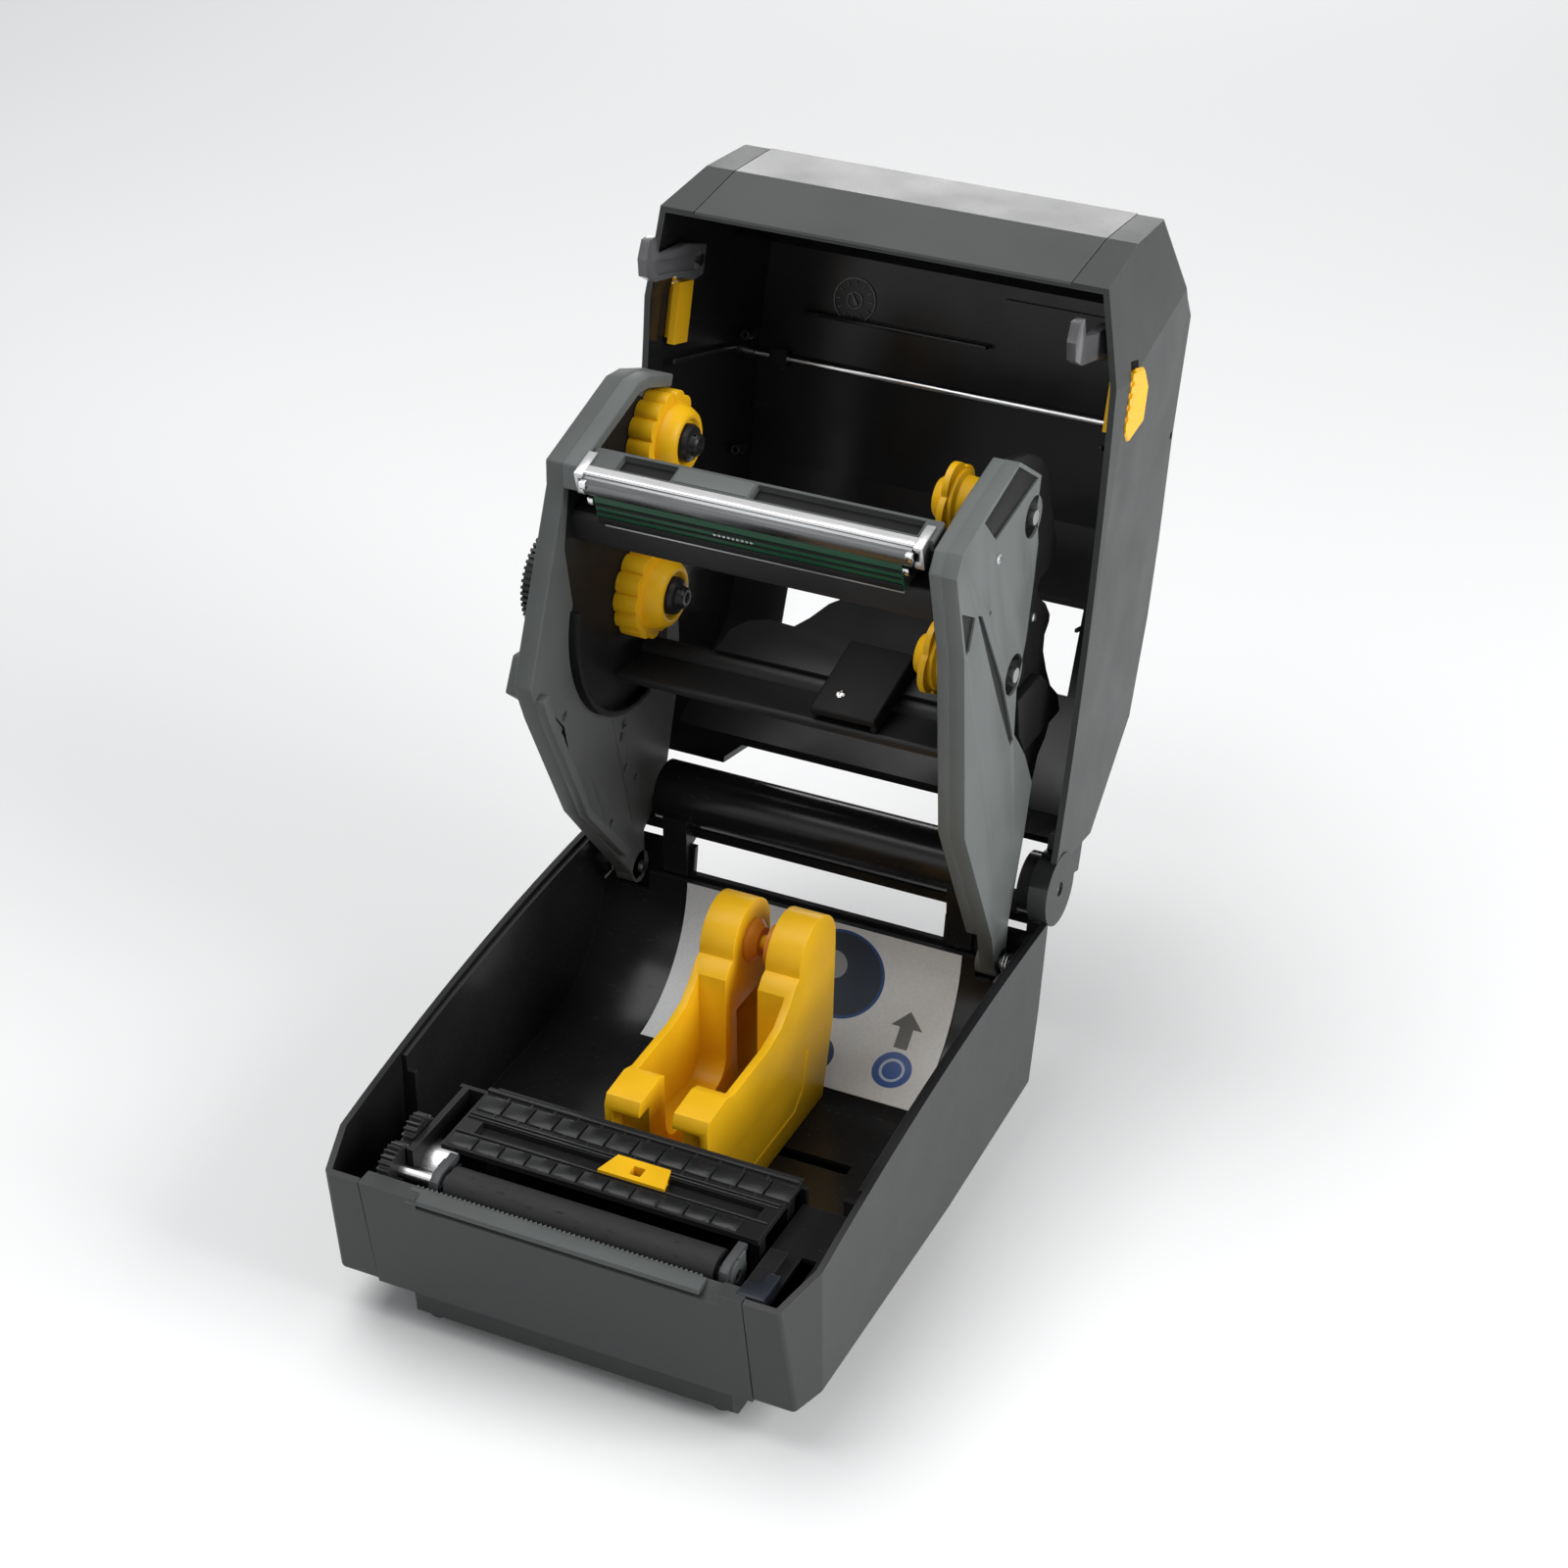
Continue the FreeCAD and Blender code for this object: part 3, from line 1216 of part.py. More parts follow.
def lid_corner(inset):
    """What the facet takes off each front corner of the lid, seen from above."""
    return [
        (f"half_width - 10 - {inset}", "-lid_nose - 1"),
        (f"half_width - {inset}", "40"),
        ("half_width + 12", "40"),
        ("half_width + 12", "-lid_nose - 12"),
        (f"half_width - 10 - {inset}", "-lid_nose - 12"),
    ]


def lid_lean(inset):
    """What the lean takes off each side of the lid, seen from the front."""
    return [
        (f"half_width - {inset}", "rim_rear"),
        ("half_width + 12", "rim_rear"),
        ("half_width + 12", "lid_crown + 9"),
        (f"half_width - side_lean - {inset}", "lid_crown + 9"),
    ]


def crown_band(low, high):
    """The stretch of the lid's crown that the window takes, between two depths below it."""
    return [
        ("window_front", f"lid_crown + 1 - ({low})"),
        (LID_FALL, f"lid_crown - 4 - ({low})"),
        (LID_FALL, f"lid_crown - 4 - ({high})"),
        ("window_front", f"lid_crown + 1 - ({high})"),
    ]


def lid_solid(name, inset):
    """The lid's faceted form as a solid, inset from its outer faces."""
    lid = Body(name)
    lid.pad("YZ", f"{inset} - half_width", f"half_width - {inset}", lid_side(inset))
    for outline in (lid_corner(inset), mirrored(lid_corner(inset))):
        lid.pocket("XY", "0", "2 * lid_crown", outline)
    for outline in (lid_lean(inset), mirrored(lid_lean(inset))):
        lid.pocket("XZ", "-lid_nose - 20", f"{REAR} + 20", outline)
    return lid


def lid_shell():
    """The lid: a faceted shell with hinge ears, a ledge for the window, the front panel's
    recess, slots for the latches and the rear opening for fan-fold media."""
    lid = lid_solid("lid_shell", "0")
    lid.round_off(lambda edge: edge.BoundBox.ZMin > worth("nose_low") + 1, "wall")
    lid.hollow(lid_solid("lid_hollow", "wall"))
    for low, inner in ((EAR, EAR), ("-half_width", "3 - half_width")):
        lid.rod("x", (low, "hinge_y", "hinge_z"), "ear_width", "ear_radius")
        lid.block(
            (inner, f"{REAR} - 12", "hinge_z"),
            (f"{inner} + ear_width - 3", "hinge_y", "hinge_z + ear_radius + 14"),
        )
    lid.block(
        (f"-{EAR}", f"{REAR} - 30", "0"), (EAR, "hinge_y + 40", "hinge_z + beam_radius + 4"), cut=True
    )
    lid.block(
        ("-slot_half - 3", f"{REAR} - 14", "0"),
        ("slot_half + 3", "hinge_y + 40", "lid_crown - 42"),
        cut=True,
    )
    for low in (f"{EAR} - 1", "-half_width - 1"):
        lid.rod("x", (low, "hinge_y", "hinge_z"), "ear_width + 2", "pin_radius + run_gap", cut=True)
    lid.pocket("YZ", "-window_half", "window_half", crown_band("pane_thick + 0.05", "-12"))
    lid.block(
        ("3 - window_half", "window_front + 3", "lid_crown - 12"),
        ("window_half - 3", f"{LID_FALL} - 3", "lid_crown + 9"),
        cut=True,
    )
    recess = [
        (f"{LID_FRONT} + 1.3", "rim_front - wall"),
        (f"{LID_FRONT} + 1.3", "rim_front + seam"),
        ("7 - lid_nose + 1.5", "nose_low"),
        ("1.4 - lid_nose", "nose_high - 0.6"),
        (f"{PANEL_END[0]} + 1.2", f"{PANEL_END[1]} - 0.6"),
        (f"{PANEL_END[0]} - 2", f"{PANEL_END[1]} + 2.7"),
        ("-2 * lid_nose", f"{PANEL_END[1]} + 2.7"),
        ("-2 * lid_nose", "rim_front - wall"),
    ]
    lid.pocket("YZ", "-panel_half - seam", "panel_half + seam", recess)
    lid.block((*CONTROL_LOW, "lid_top - wall - 2"), (*CONTROL_HIGH, "lid_top - 1"))
    lid.block(
        (*[f"{edge} + 2" for edge in CONTROL_LOW], "lid_top - 2.2"),
        (*[f"{edge} - 2" for edge in CONTROL_HIGH], "lid_top + 1"),
        cut=True,
    )
    for low in ("half_width - 8", "-half_width - 1"):
        lid.block(
            (low, f"{LATCH_Y} - latch_travel - 0.5", f"{LATCH_Z} - 0.5"),
            (f"{low} + 9", f"{LATCH_Y} + {LATCH_LONG} + 0.5", f"{LATCH_Z} + {LATCH_TALL} + 0.5"),
            cut=True,
        )
    for low in ("half_width - 13", "3 - half_width"):
        lid.rod("x", (low, HOOK_Y, HOOK_Z), "10", "2.5")
    for low in ("half_width - 24", "16 - half_width"):
        lid.block((low, "rod_y - 3.5", "rod_height - 3"), (f"{low} + 8", "rod_y + 3.5", "lid_top - 1"))
    lid.rod(
        "x",
        ("-half_width + wall + 2", "rod_y", "rod_height"),
        "2 * half_width - 2 * wall - 4",
        "rod_radius",
        cut=True,
    )
    lid.finish("lid_shell", "lid")


def lid_front_panel():
    """The panel between the lid's front seams: the lit face and the strip below it."""
    panel = Body("lid_front_panel")
    panel.pad(
        "YZ",
        "-panel_half",
        "panel_half",
        [
            (LID_FRONT, "rim_front + seam"),
            ("7 - lid_nose", "nose_low"),
            ("-lid_nose", "nose_high"),
            PANEL_END,
            (f"{PANEL_END[0]} + 0.8", f"{PANEL_END[1]} - 0.8"),
            ("1.2 - lid_nose", "nose_high - 0.6"),
            ("7 - lid_nose + 1.3", "nose_low"),
            (f"{LID_FRONT} + 1.1", "rim_front + seam"),
        ],
    )
    panel.finish("lid_front_panel", "lid")


def lid_window():
    """The clear pane over the label roll, on its ledge in the lid's crown."""
    pane = Body("lid_window")
    pane.pad("YZ", "0.2 - window_half", "window_half - 0.2", crown_band("0", "pane_thick"))
    pane.block(("-window_half", "0", "0"), ("window_half", "window_front + 0.2", "2 * lid_crown"), cut=True)
    pane.block(
        ("-window_half", f"{LID_FALL} - 0.2", "0"),
        ("window_half", "2 * base_length", "2 * lid_crown"),
        cut=True,
    )
    pane.finish("lid_window", "lid")


def lid_rod():
    """The bright cross rod under the lid's top, held by two clips."""
    rod = Body("lid_rod")
    rod.rod(
        "x",
        ("-half_width + wall + 6", "rod_y", "rod_height"),
        "2 * (half_width - wall - 6)",
        "rod_radius",
    )
    rod.finish("lid_rod", "lid")


BUTTONS = ("power", "pause", "feed", "cancel")


def control_panel():
    """The button panel on the lid's top, with round holes and a row of indicator windows."""
    panel = Body("control_panel")
    low = [f"{edge} + 2.15" for edge in CONTROL_LOW]
    high = [f"{edge} - 2.15" for edge in CONTROL_HIGH]
    panel.block((*low, "lid_top - 2.2"), (*high, "lid_top + 0.1"))
    for index in range(len(BUTTONS)):
        x = f"{CONTROL_LOW[0]} + 10 + {index} * button_pitch"
        panel.rod("z", (x, BUTTON_Y, "0"), "2 * lid_top", "button_radius + button_gap", cut=True)
        panel.rod("z", (x, f"{BUTTON_Y} + 12", "lid_top - 0.3"), "2", "1.2", cut=True)
    panel.finish("control_panel", "lid")
    for index, name in enumerate(BUTTONS):
        button = Body(f"button_{name}")
        button.rod("z", ("0", "0", "0"), "2.6", "button_radius")
        button.round_off(lambda edge: edge.BoundBox.ZMin > 2.5, "0.5")
        x = f"{CONTROL_LOW[0]} + 10 + {index} * button_pitch"
        button.finish(f"button_{name}", "lid", (x, BUTTON_Y, "lid_top - 1.6"))


def latch(name, side):
    """A yellow release slide: a grip through the lid's side wall and a plate inside it."""
    piece = Body(f"latch_{name}")
    inner, outer = "half_width - wall - 5.6", "half_width - wall - 2.4"
    plate = (inner, outer) if side > 0 else (f"-({outer})", f"-({inner})")
    grip = (outer, "half_width + 0.4") if side > 0 else ("-half_width - 0.4", f"-({outer})")
    piece.block(
        (plate[0], f"{LATCH_Y} - 1.5", f"{LATCH_Z} - 2"),
        (plate[1], f"{LATCH_Y} + {LATCH_LONG} + 2", f"{LATCH_Z} + {LATCH_TALL} + 2"),
    )
    piece.block(
        (grip[0], LATCH_Y, LATCH_Z),
        (grip[1], f"{LATCH_Y} + {LATCH_LONG}", f"{LATCH_Z} + {LATCH_TALL}"),
    )
    face = "half_width - 0.6" if side > 0 else "-half_width - 1"
    groove = piece.block(
        (face, f"{LATCH_Y} + 3", f"{LATCH_Z} - 1"),
        (f"{face} + 1.6", f"{LATCH_Y} + 5", f"{LATCH_Z} + {LATCH_TALL} + 2"),
        cut=True,
    )
    piece.along([groove], "y", "14", "4")
    piece.finish(f"latch_{name}", "lid")


def lock_hook(name, side):
    """A translucent hook that hangs from the lid's side and grips the base when it shuts."""
    hook = Body(f"lock_hook_{name}")
    low = "half_width - 12.8" if side > 0 else "9 - half_width"
    outline = [
        (f"{HOOK_Y} - 5", f"{HOOK_Z} + 3"),
        (f"{HOOK_Y} - 9", "64"),
        (f"{HOOK_Y} - 13", "62"),
        (f"{HOOK_Y} - 11", "57"),
        (f"{HOOK_Y} - 2", "56"),
        (f"{HOOK_Y} + 1", "66"),
        (f"{HOOK_Y} + 6", f"{HOOK_Z} - 8"),
        (f"{HOOK_Y} + 5", f"{HOOK_Z} + 3"),
    ]
    hook.pad("YZ", low, f"{low} + 3.8", outline)
    hook.rod("x", (low, HOOK_Y, HOOK_Z), "3.8", "6")
    hook.rod("x", (f"{low} - 1", HOOK_Y, HOOK_Z), "6", "2.5 + run_gap", cut=True)
    hook.finish(f"lock_hook_{name}", "lid")


PLATEN_TOP = "(platen_z + platen_radius + head_gap)"


def pivot_end(frame, low, width):
    """The round end of a carriage frame on its pin."""
    frame.rod("x", (low, PIVOT_Y, "pivot_z"), width, "7")
    frame.rod("x", (f"{low} - 1", PIVOT_Y, "pivot_z"), f"{width} + 2", "pivot_radius + run_gap", cut=True)


def right_frame():
    """The carriage's right plate: an arched outline, a flat outer face with moulded recesses
    and bores for the two sprung spindles."""
    frame = Body("carriage_right_frame")
    low = "(right_face - right_depth)"
    frame.pad(
        "YZ",
        low,
        "right_face",
        [
            ("13", "rim_front + 2"),
            ("7", "rim_front + 9"),
            ("6", "128"),
            ("14", "152"),
            ("32", "171"),
            ("46", "175"),
            ("62", "176.5"),
            ("99", "175.5"),
            ("106", "172"),
            ("108", "166"),
            ("102", "154"),
            ("112", "150"),
            ("148", "161"),
            ("158", "159"),
            ("196", "124"),
            (f"{PIVOT_Y} - 14", "pivot_z + 8.5"),
            (f"{PIVOT_Y} + 6", "pivot_z + 3.5"),
            (f"{PIVOT_Y}", "pivot_z - 7"),
            (f"{PIVOT_Y} - 20", "pivot_z - 6"),
            ("132", "pivot_z - 20"),
            ("102", "pivot_z - 14"),
            ("52", "rim_front + 1.5"),
        ],
    )
    pivot_end(frame, low, "right_depth")
    slots = (
        [("13", "133"), ("29", "129"), ("37", "160"), ("24", "160")],
        [("52", "84"), ("80", "78"), ("84", "84"), ("58", "96")],
        [("128", "128"), ("152", "118"), ("160", "134"), ("138", "146")],
        [("176", "96"), ("204", "86"), ("206", "92"), ("180", "104")],
    )
    for outline in slots:
        frame.pocket("YZ", "right_face - 4", "right_face + 1", outline)
    for y, z in HUB_AXES:
        frame.rod("x", (f"{low} - 1", y, z), "right_depth + 2", "spindle_radius + run_gap", cut=True)
        frame.rod("x", ("right_face - 3", y, z), "4", "8", cut=True)
    frame.finish("carriage_right_frame", "carriage")


def left_frame():
    """The carriage's left plate with the gear housing's thick front edge, the axles of the
    knurled hubs and rows of small slots."""
    frame = Body("carriage_left_frame")
    outer = "(-left_face)"
    frame.pad(
        "YZ",
        outer,
        f"{outer} + left_depth",
        [
            ("16", "rim_front + 7"),
            ("6", "rim_front + 10"),
            ("5", "137"),
            ("21", "163"),
            ("50", "170"),
            ("92", "162"),
            ("118", "150"),
            ("160", "140"),
            ("203", "112"),
            (f"{PIVOT_Y} - 14", "pivot_z + 8.5"),
            (f"{PIVOT_Y} + 6", "pivot_z + 3.5"),
            (f"{PIVOT_Y}", "pivot_z - 7"),
            ("160", "tub_floor + 19"),
            ("96", "tub_floor + 7"),
            ("78", "tub_floor + 5"),
        ],
    )
    frame.round_off(lambda edge: edge.BoundBox.XMax < worth(outer) + 0.01, "0.8")
    pivot_end(frame, outer, "left_depth")
    edge_strip = [
        ("6", "rim_front + 10"),
        ("5", "137"),
        ("21", "163"),
        ("26", "163"),
        ("10", "136"),
        ("11", "rim_front + 10"),
    ]
    frame.pad("YZ", f"{outer} + left_depth", f"{outer} + left_depth + 5", edge_strip)
    window = [("38", "70"), ("56", "57"), ("60", "64"), ("42", "77")]
    frame.pocket("YZ", f"{outer} - 1", f"{outer} + 5", window)
    for y in ("84", "92"):
        for z in ("52", "60", "92"):
            frame.block(
                (f"{outer} + left_depth - 2", y, z),
                (f"{outer} + left_depth + 1", f"{y} + 3", f"{z} + 4"),
                cut=True,
            )
    for y, z in HUB_AXES:
        face = f"({outer} + left_depth)"
        frame.rod("x", (f"{face} - 1", y, z), "23", "spindle_radius")
        frame.rod("x", (f"{face} + 21.8", y, z), "2.4", "6")
    frame.finish("carriage_left_frame", "carriage")


def cross_frame():
    """What ties the two frames together: the bar behind the head, the head's mounting plate,
    the rear plate with its rounded edge and the pressure block."""
    frame = Body("carriage_cross_frame")
    low, high = "(left_depth - left_face)", "(right_face - right_depth)"
    base = "(deck_top + 4)"
    frame.block((low, "30", base), (high, "40", f"{base} + 18"))
    frame.block((low, "11.5", f"{base} + 12"), (high, "31", f"{base} + 15"))
    frame.pad(
        "YZ", low, high, [("122.5", "90"), ("126.5", "90"), ("131", "114"), ("127", "117")]
    )
    frame.rod("x", (low, "129", "117"), f"{high} - {low}", "5")
    frame.block(("12", "113", "90.5"), ("44", "124.5", "112"))
    for x in (low, f"{high} - 3"):
        frame.pad(
            "YZ", x, f"{x} + 3", [
                ("30", base),
                ("40", base),
                ("126.5", "90"),
                ("131", "114"),
                ("127", "114"),
                ("112", "95"),
                ("60", "95"),
            ]
        )
    frame.finish("carriage_cross_frame", "carriage")


def print_head():
    """The bright head rail with its end brackets, the heat sink and the green head board."""
    half = "(left_face - left_depth - 10)"
    rail = Body("head_rail")
    rail.block((f"-{half}", "5.5", PLATEN_TOP), (half, "11", f"{PLATEN_TOP} + 7"))
    rail.round_off(lambda edge: edge.BoundBox.XLength > 20 and edge.BoundBox.YMax < 6, "1.5")
    for x in (f"-{half}", f"{half} - 5"):
        rail.block((x, "5.5", PLATEN_TOP), (f"{x} + 5", "9", f"{PLATEN_TOP} + 14"))
        rail.block((x, "5.5", f"{PLATEN_TOP} + 11"), (f"{x} + 5", "11.5", f"{PLATEN_TOP} + 14"))
    rail.finish("head_rail", "carriage")
    sink = Body("head_sink")
    sink.block((f"6 - {half}", "11", f"{PLATEN_TOP} + 2"), (f"{half} - 6", "29.5", "deck_top + 16"))
    fin_gap = sink.block(
        (f"10 - {half}", "13", f"{PLATEN_TOP} + 6"),
        (f"14 - {half}", "28", "deck_top + 17"),
        cut=True,
    )
    sink.along([fin_gap], "x", f"2 * {half} - 24", "14")
    sink.finish("head_sink", "carriage")
    board = Body("head_board")
    board.block((f"4 - {half}", "11", PLATEN_TOP), (f"{half} - 4", "27", f"{PLATEN_TOP} + 2"))
    board.finish("head_board", "carriage")


def left_hub(label, y, z):
    """A knurled ribbon hub: a scalloped flange and a stepped nose, bored for its axle."""
    hub = Body(label)
    hub.turn(
        [
            ("0", "spindle_radius + run_gap"),
            ("21.2", "spindle_radius + run_gap"),
            ("21.2", "10"),
            ("17", "12"),
            ("12", "13.5"),
            ("11.5", "hub_radius - 2.5"),
            ("10", "hub_radius - 0.5"),
            ("8", "hub_radius"),
            ("1.5", "hub_radius"),
            ("0", "hub_radius - 1"),
        ]
    )
    scallop = hub.rod("x", ("-1", "hub_radius + 1.2", "0"), "14", "2.6", cut=True)
    hub.around([scallop], "16")
    hub.finish(label, "carriage", ("left_depth - left_face + 0.3", y, z))


def right_hub(label, spindle_label, y, z):
    """A coned ribbon hub on a headed spindle that slides through the right frame."""
    start = "(right_face - right_depth - 16)"
    spindle = Body(spindle_label)
    spindle.rod("x", ("-2.5", "0", "0"), "2.3", "6")
    spindle.rod("x", ("-1", "0", "0"), "right_depth + 18", "spindle_radius")
    spindle.finish(spindle_label, "carriage", (start, y, z))
    hub = Body(label)
    hub.turn(
        [
            ("0", "spindle_radius + run_gap"),
            ("8", "spindle_radius + run_gap"),
            ("8", "cone_radius"),
            ("6", "cone_radius"),
            ("5", "11"),
            ("0", "8.5"),
        ]
    )
    notch = hub.rod("x", ("4", "cone_radius + 3", "0"), "6", "5", cut=True)
    hub.around([notch], "8")
    hub.finish(label, "carriage", (start, y, z))


def hub_springs():
    """The copper-coloured coil between each right hub and the frame."""
    springs = []
    start = worth("right_face - right_depth - 7.3")
    for y, z in HUB_AXES:
        springs.append(coil((start, worth(y), worth(z)), 6.6, 4, worth("spindle_radius") + 2.2, 0.6))
    shaped("hub_springs", springs, "carriage")


def carriage_screws():
    """The screw heads on the right frame's outer face."""
    spots = (("36", "119"), ("162", "140"), ("60", "128"))
    heads = [cylinder("x", ("right_face", y, z), "0.9", "2.2") for y, z in spots]
    group_of(heads, "carriage_screws", "carriage")


base_shell()
front_bezel()
tear_bar()
base_plinth()
rubber_feet()
tub_liner()
media_deck()
chassis_frame()
hinge_beam()
loading_card()
main_board()
stepper_motor()
rear_panel()
power_inlet()
data_ports()
power_switch()
pivot_pins()
pivot_springs()
case_screws()
platen_and_drive()
media_sensor()
guide_pinion()
lid_shell()
lid_front_panel()
lid_window()
lid_rod()
control_panel()
right_frame()
left_frame()
cross_frame()
print_head()
for side, name in ((-1, "left"), (1, "right")):
    roll_guide(f"roll_guide_{name}", side)
    core_hub(f"core_hub_{name}", side)
    latch(name, side)
    lock_hook(name, side)
for name, (y, z) in zip(("takeup", "supply"), HUB_AXES):
    left_hub(f"{name}_hub_left", y, z)
    right_hub(f"{name}_hub_right", f"{name}_spindle", y, z)
hub_springs()
carriage_screws()

# Every object and shape is checked before any piece is written.
doc.recompute()
for thing in doc.Objects:
    if {"Invalid", "Error"} & set(thing.State):
        raise RuntimeError(f"{thing.Name} failed: {thing.State}")
os.makedirs("parts", exist_ok=True)
for label, piece in pieces.items():
    if piece.Shape.isNull() or not piece.Shape.isValid():
        raise RuntimeError(f"{label} has no valid shape")
for label, piece in pieces.items():
    piece.Shape.exportStep(f"parts/{label}.step")
print(f"wrote {len(pieces)} pieces")
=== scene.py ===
"""A desktop thermal label printer with its lid and ribbon carriage swung open, on a pale studio floor."""

import math

import bpy
from mathutils import Matrix, Vector


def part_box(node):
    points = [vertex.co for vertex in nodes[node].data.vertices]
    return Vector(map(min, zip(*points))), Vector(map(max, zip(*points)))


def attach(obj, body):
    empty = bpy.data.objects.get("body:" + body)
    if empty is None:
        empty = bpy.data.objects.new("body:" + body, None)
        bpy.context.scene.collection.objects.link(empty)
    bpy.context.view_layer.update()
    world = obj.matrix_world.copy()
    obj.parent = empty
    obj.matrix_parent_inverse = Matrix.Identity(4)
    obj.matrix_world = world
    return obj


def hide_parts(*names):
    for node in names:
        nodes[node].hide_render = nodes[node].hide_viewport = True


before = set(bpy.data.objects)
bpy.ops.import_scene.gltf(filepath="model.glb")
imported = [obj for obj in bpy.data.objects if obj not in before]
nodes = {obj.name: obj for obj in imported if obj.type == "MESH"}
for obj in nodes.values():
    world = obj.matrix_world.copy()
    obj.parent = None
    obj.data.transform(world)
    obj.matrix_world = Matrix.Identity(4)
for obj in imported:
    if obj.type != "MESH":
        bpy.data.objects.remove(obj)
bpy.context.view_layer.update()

# Studio. The camera looks down on the printer's front right corner through a short telephoto.
# Soft lamps stand overhead, on the right for the case's lit side, in front and behind.
BASE_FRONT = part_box("base_shell")[0].y
camera_data = bpy.data.cameras.new("camera")
camera_data.lens = 80.1
camera_data.clip_end = 20
camera = bpy.data.objects.new("camera", camera_data)
camera.matrix_world = (
    Matrix.Translation((0.5096, BASE_FRONT - 0.8445, 0.8988))
    @ Matrix.Rotation(math.radians(25.96), 4, "Z")
    @ Matrix.Rotation(math.radians(90 - 32.52), 4, "X")
    @ Matrix.Rotation(math.radians(-0.51), 4, "Z")
)
bpy.context.scene.collection.objects.link(camera)
bpy.context.scene.camera = camera


def soft_lamp(name, place, aim, width, height, power):
    """A rectangular soft lamp that faces a point."""
    data = bpy.data.lights.new(name, "AREA")
    data.shape = "RECTANGLE"
    data.size = width
    data.size_y = height
    data.energy = power
    light = bpy.data.objects.new(name, data)
    light.location = place
    light.visible_camera = False
    light.rotation_euler = (Vector(aim) - Vector(place)).to_track_quat("-Z", "Y").to_euler()
    bpy.context.scene.collection.objects.link(light)


soft_lamp("overhead_softbox", (-0.5, -0.2, 1.7), (0, -0.05, 0.1), 1.6, 1.2, 20)
soft_lamp("right_softbox", (1.7, -0.1, 0.9), (0, 0, 0.15), 0.9, 1.4, 31)
soft_lamp("front_fill", (-0.4, -1.9, 0.9), (0, 0, 0.1), 1.4, 0.8, 3)
soft_lamp("rear_rim", (-0.7, 2.3, 0.55), (0, 0, 0.3), 1.2, 0.8, 13)

world = bpy.data.worlds.new("studio")
world.use_nodes = True
bpy.context.scene.world = world
world_nodes = world.node_tree.nodes
world_links = world.node_tree.links
world_nodes["Background"].inputs["Color"].default_value = (0.9, 0.92, 0.95, 1)
world_nodes["Background"].inputs["Strength"].default_value = 0.26
paper_white = world_nodes.new("ShaderNodeBackground")
light_path = world_nodes.new("ShaderNodeLightPath")
world_mix = world_nodes.new("ShaderNodeMixShader")
seen = light_path.outputs["Is Camera Ray"]
for ray in ("Is Glossy Ray", "Is Transmission Ray"):
    either = world_nodes.new("ShaderNodeMath")
    either.operation = "MAXIMUM"
    world_links.new(seen, either.inputs[0])
    world_links.new(light_path.outputs[ray], either.inputs[1])
    seen = either.outputs[0]
world_links.new(seen, world_mix.inputs["Fac"])
world_links.new(world_nodes["Background"].outputs["Background"], world_mix.inputs[1])
world_links.new(paper_white.outputs["Background"], world_mix.inputs[2])
world_links.new(world_mix.outputs["Shader"], world_nodes["World Output"].inputs["Surface"])
bpy.context.scene.view_settings.view_transform = "Standard"

bpy.ops.object.select_all(action="DESELECT")
bpy.ops.mesh.primitive_plane_add(size=14, location=(0, 0, 0))
floor = bpy.context.object
floor.name = "studio_floor"
floor_paper = bpy.data.materials.new("floor_paper")
floor_paper.use_nodes = True
floor_shader = floor_paper.node_tree.nodes["Principled BSDF"]
floor_shader.inputs["Base Color"].default_value = (0.93, 0.93, 0.93, 1)
floor_shader.inputs["Roughness"].default_value = 0.9
floor_shader.inputs["Specular IOR Level"].default_value = 0.1
floor.data.materials.append(floor_paper)

# Casing. The base shell, the bezel between its front seams and the plinth below are moulded in a
# charcoal plastic with a fine spark-eroded grain outside and polished black faces inside.
MM = 0.001


def node_group(name, inputs, outputs):
    """An empty shader group with these sockets, and its input and output nodes."""
    group = bpy.data.node_groups.new(name, "ShaderNodeTree")
    for label, kind, value in inputs:
        socket = group.interface.new_socket(label, in_out="INPUT", socket_type=kind)
        socket.default_value = value
    for label, kind in outputs:
        group.interface.new_socket(label, in_out="OUTPUT", socket_type=kind)
    return group, group.nodes.new("NodeGroupInput"), group.nodes.new("NodeGroupOutput")


def noise(tree, vector, scale, detail):
    """A noise texture on a vector. The scale is a number or a socket."""
    texture = tree.nodes.new("ShaderNodeTexNoise")
    texture.inputs["Detail"].default_value = detail
    tree.links.new(vector, texture.inputs["Vector"])
    if isinstance(scale, (int, float)):
        texture.inputs["Scale"].default_value = scale
    else:
        tree.links.new(scale, texture.inputs["Scale"])
    return texture.outputs["Fac"]


def sum_up(tree, operation, first, second, clamp=False):
    """A maths node on two sockets or numbers."""
    node = tree.nodes.new("ShaderNodeMath")
    node.operation = operation
    node.use_clamp = clamp
    for socket, value in zip(node.inputs, (first, second)):
        if isinstance(value, (int, float)):
            socket.default_value = value
        else:
            tree.links.new(value, socket)
    return node.outputs[0]


def spread(tree, value, low, high, start=0.3, end=0.7):
    """A value from start to end mapped onto low to high."""
    node = tree.nodes.new("ShaderNodeMapRange")
    tree.links.new(value, node.inputs["Value"])
    for label, number in (("From Min", start), ("From Max", end), ("To Min", low), ("To Max", high)):
        node.inputs[label].default_value = number
    return node.outputs["Result"]


def blend_colour(tree, amount, first, second):
    """A colour between two others, each a socket or an RGB."""
    node = tree.nodes.new("ShaderNodeMix")
    node.data_type = "RGBA"
    tree.links.new(amount, node.inputs["Factor"])
    for socket, value in zip((node.inputs[6], node.inputs[7]), (first, second)):
        if isinstance(value, tuple):
            socket.default_value = (*value, 1)
        else:
            tree.links.new(value, socket)
    return node.outputs[2]


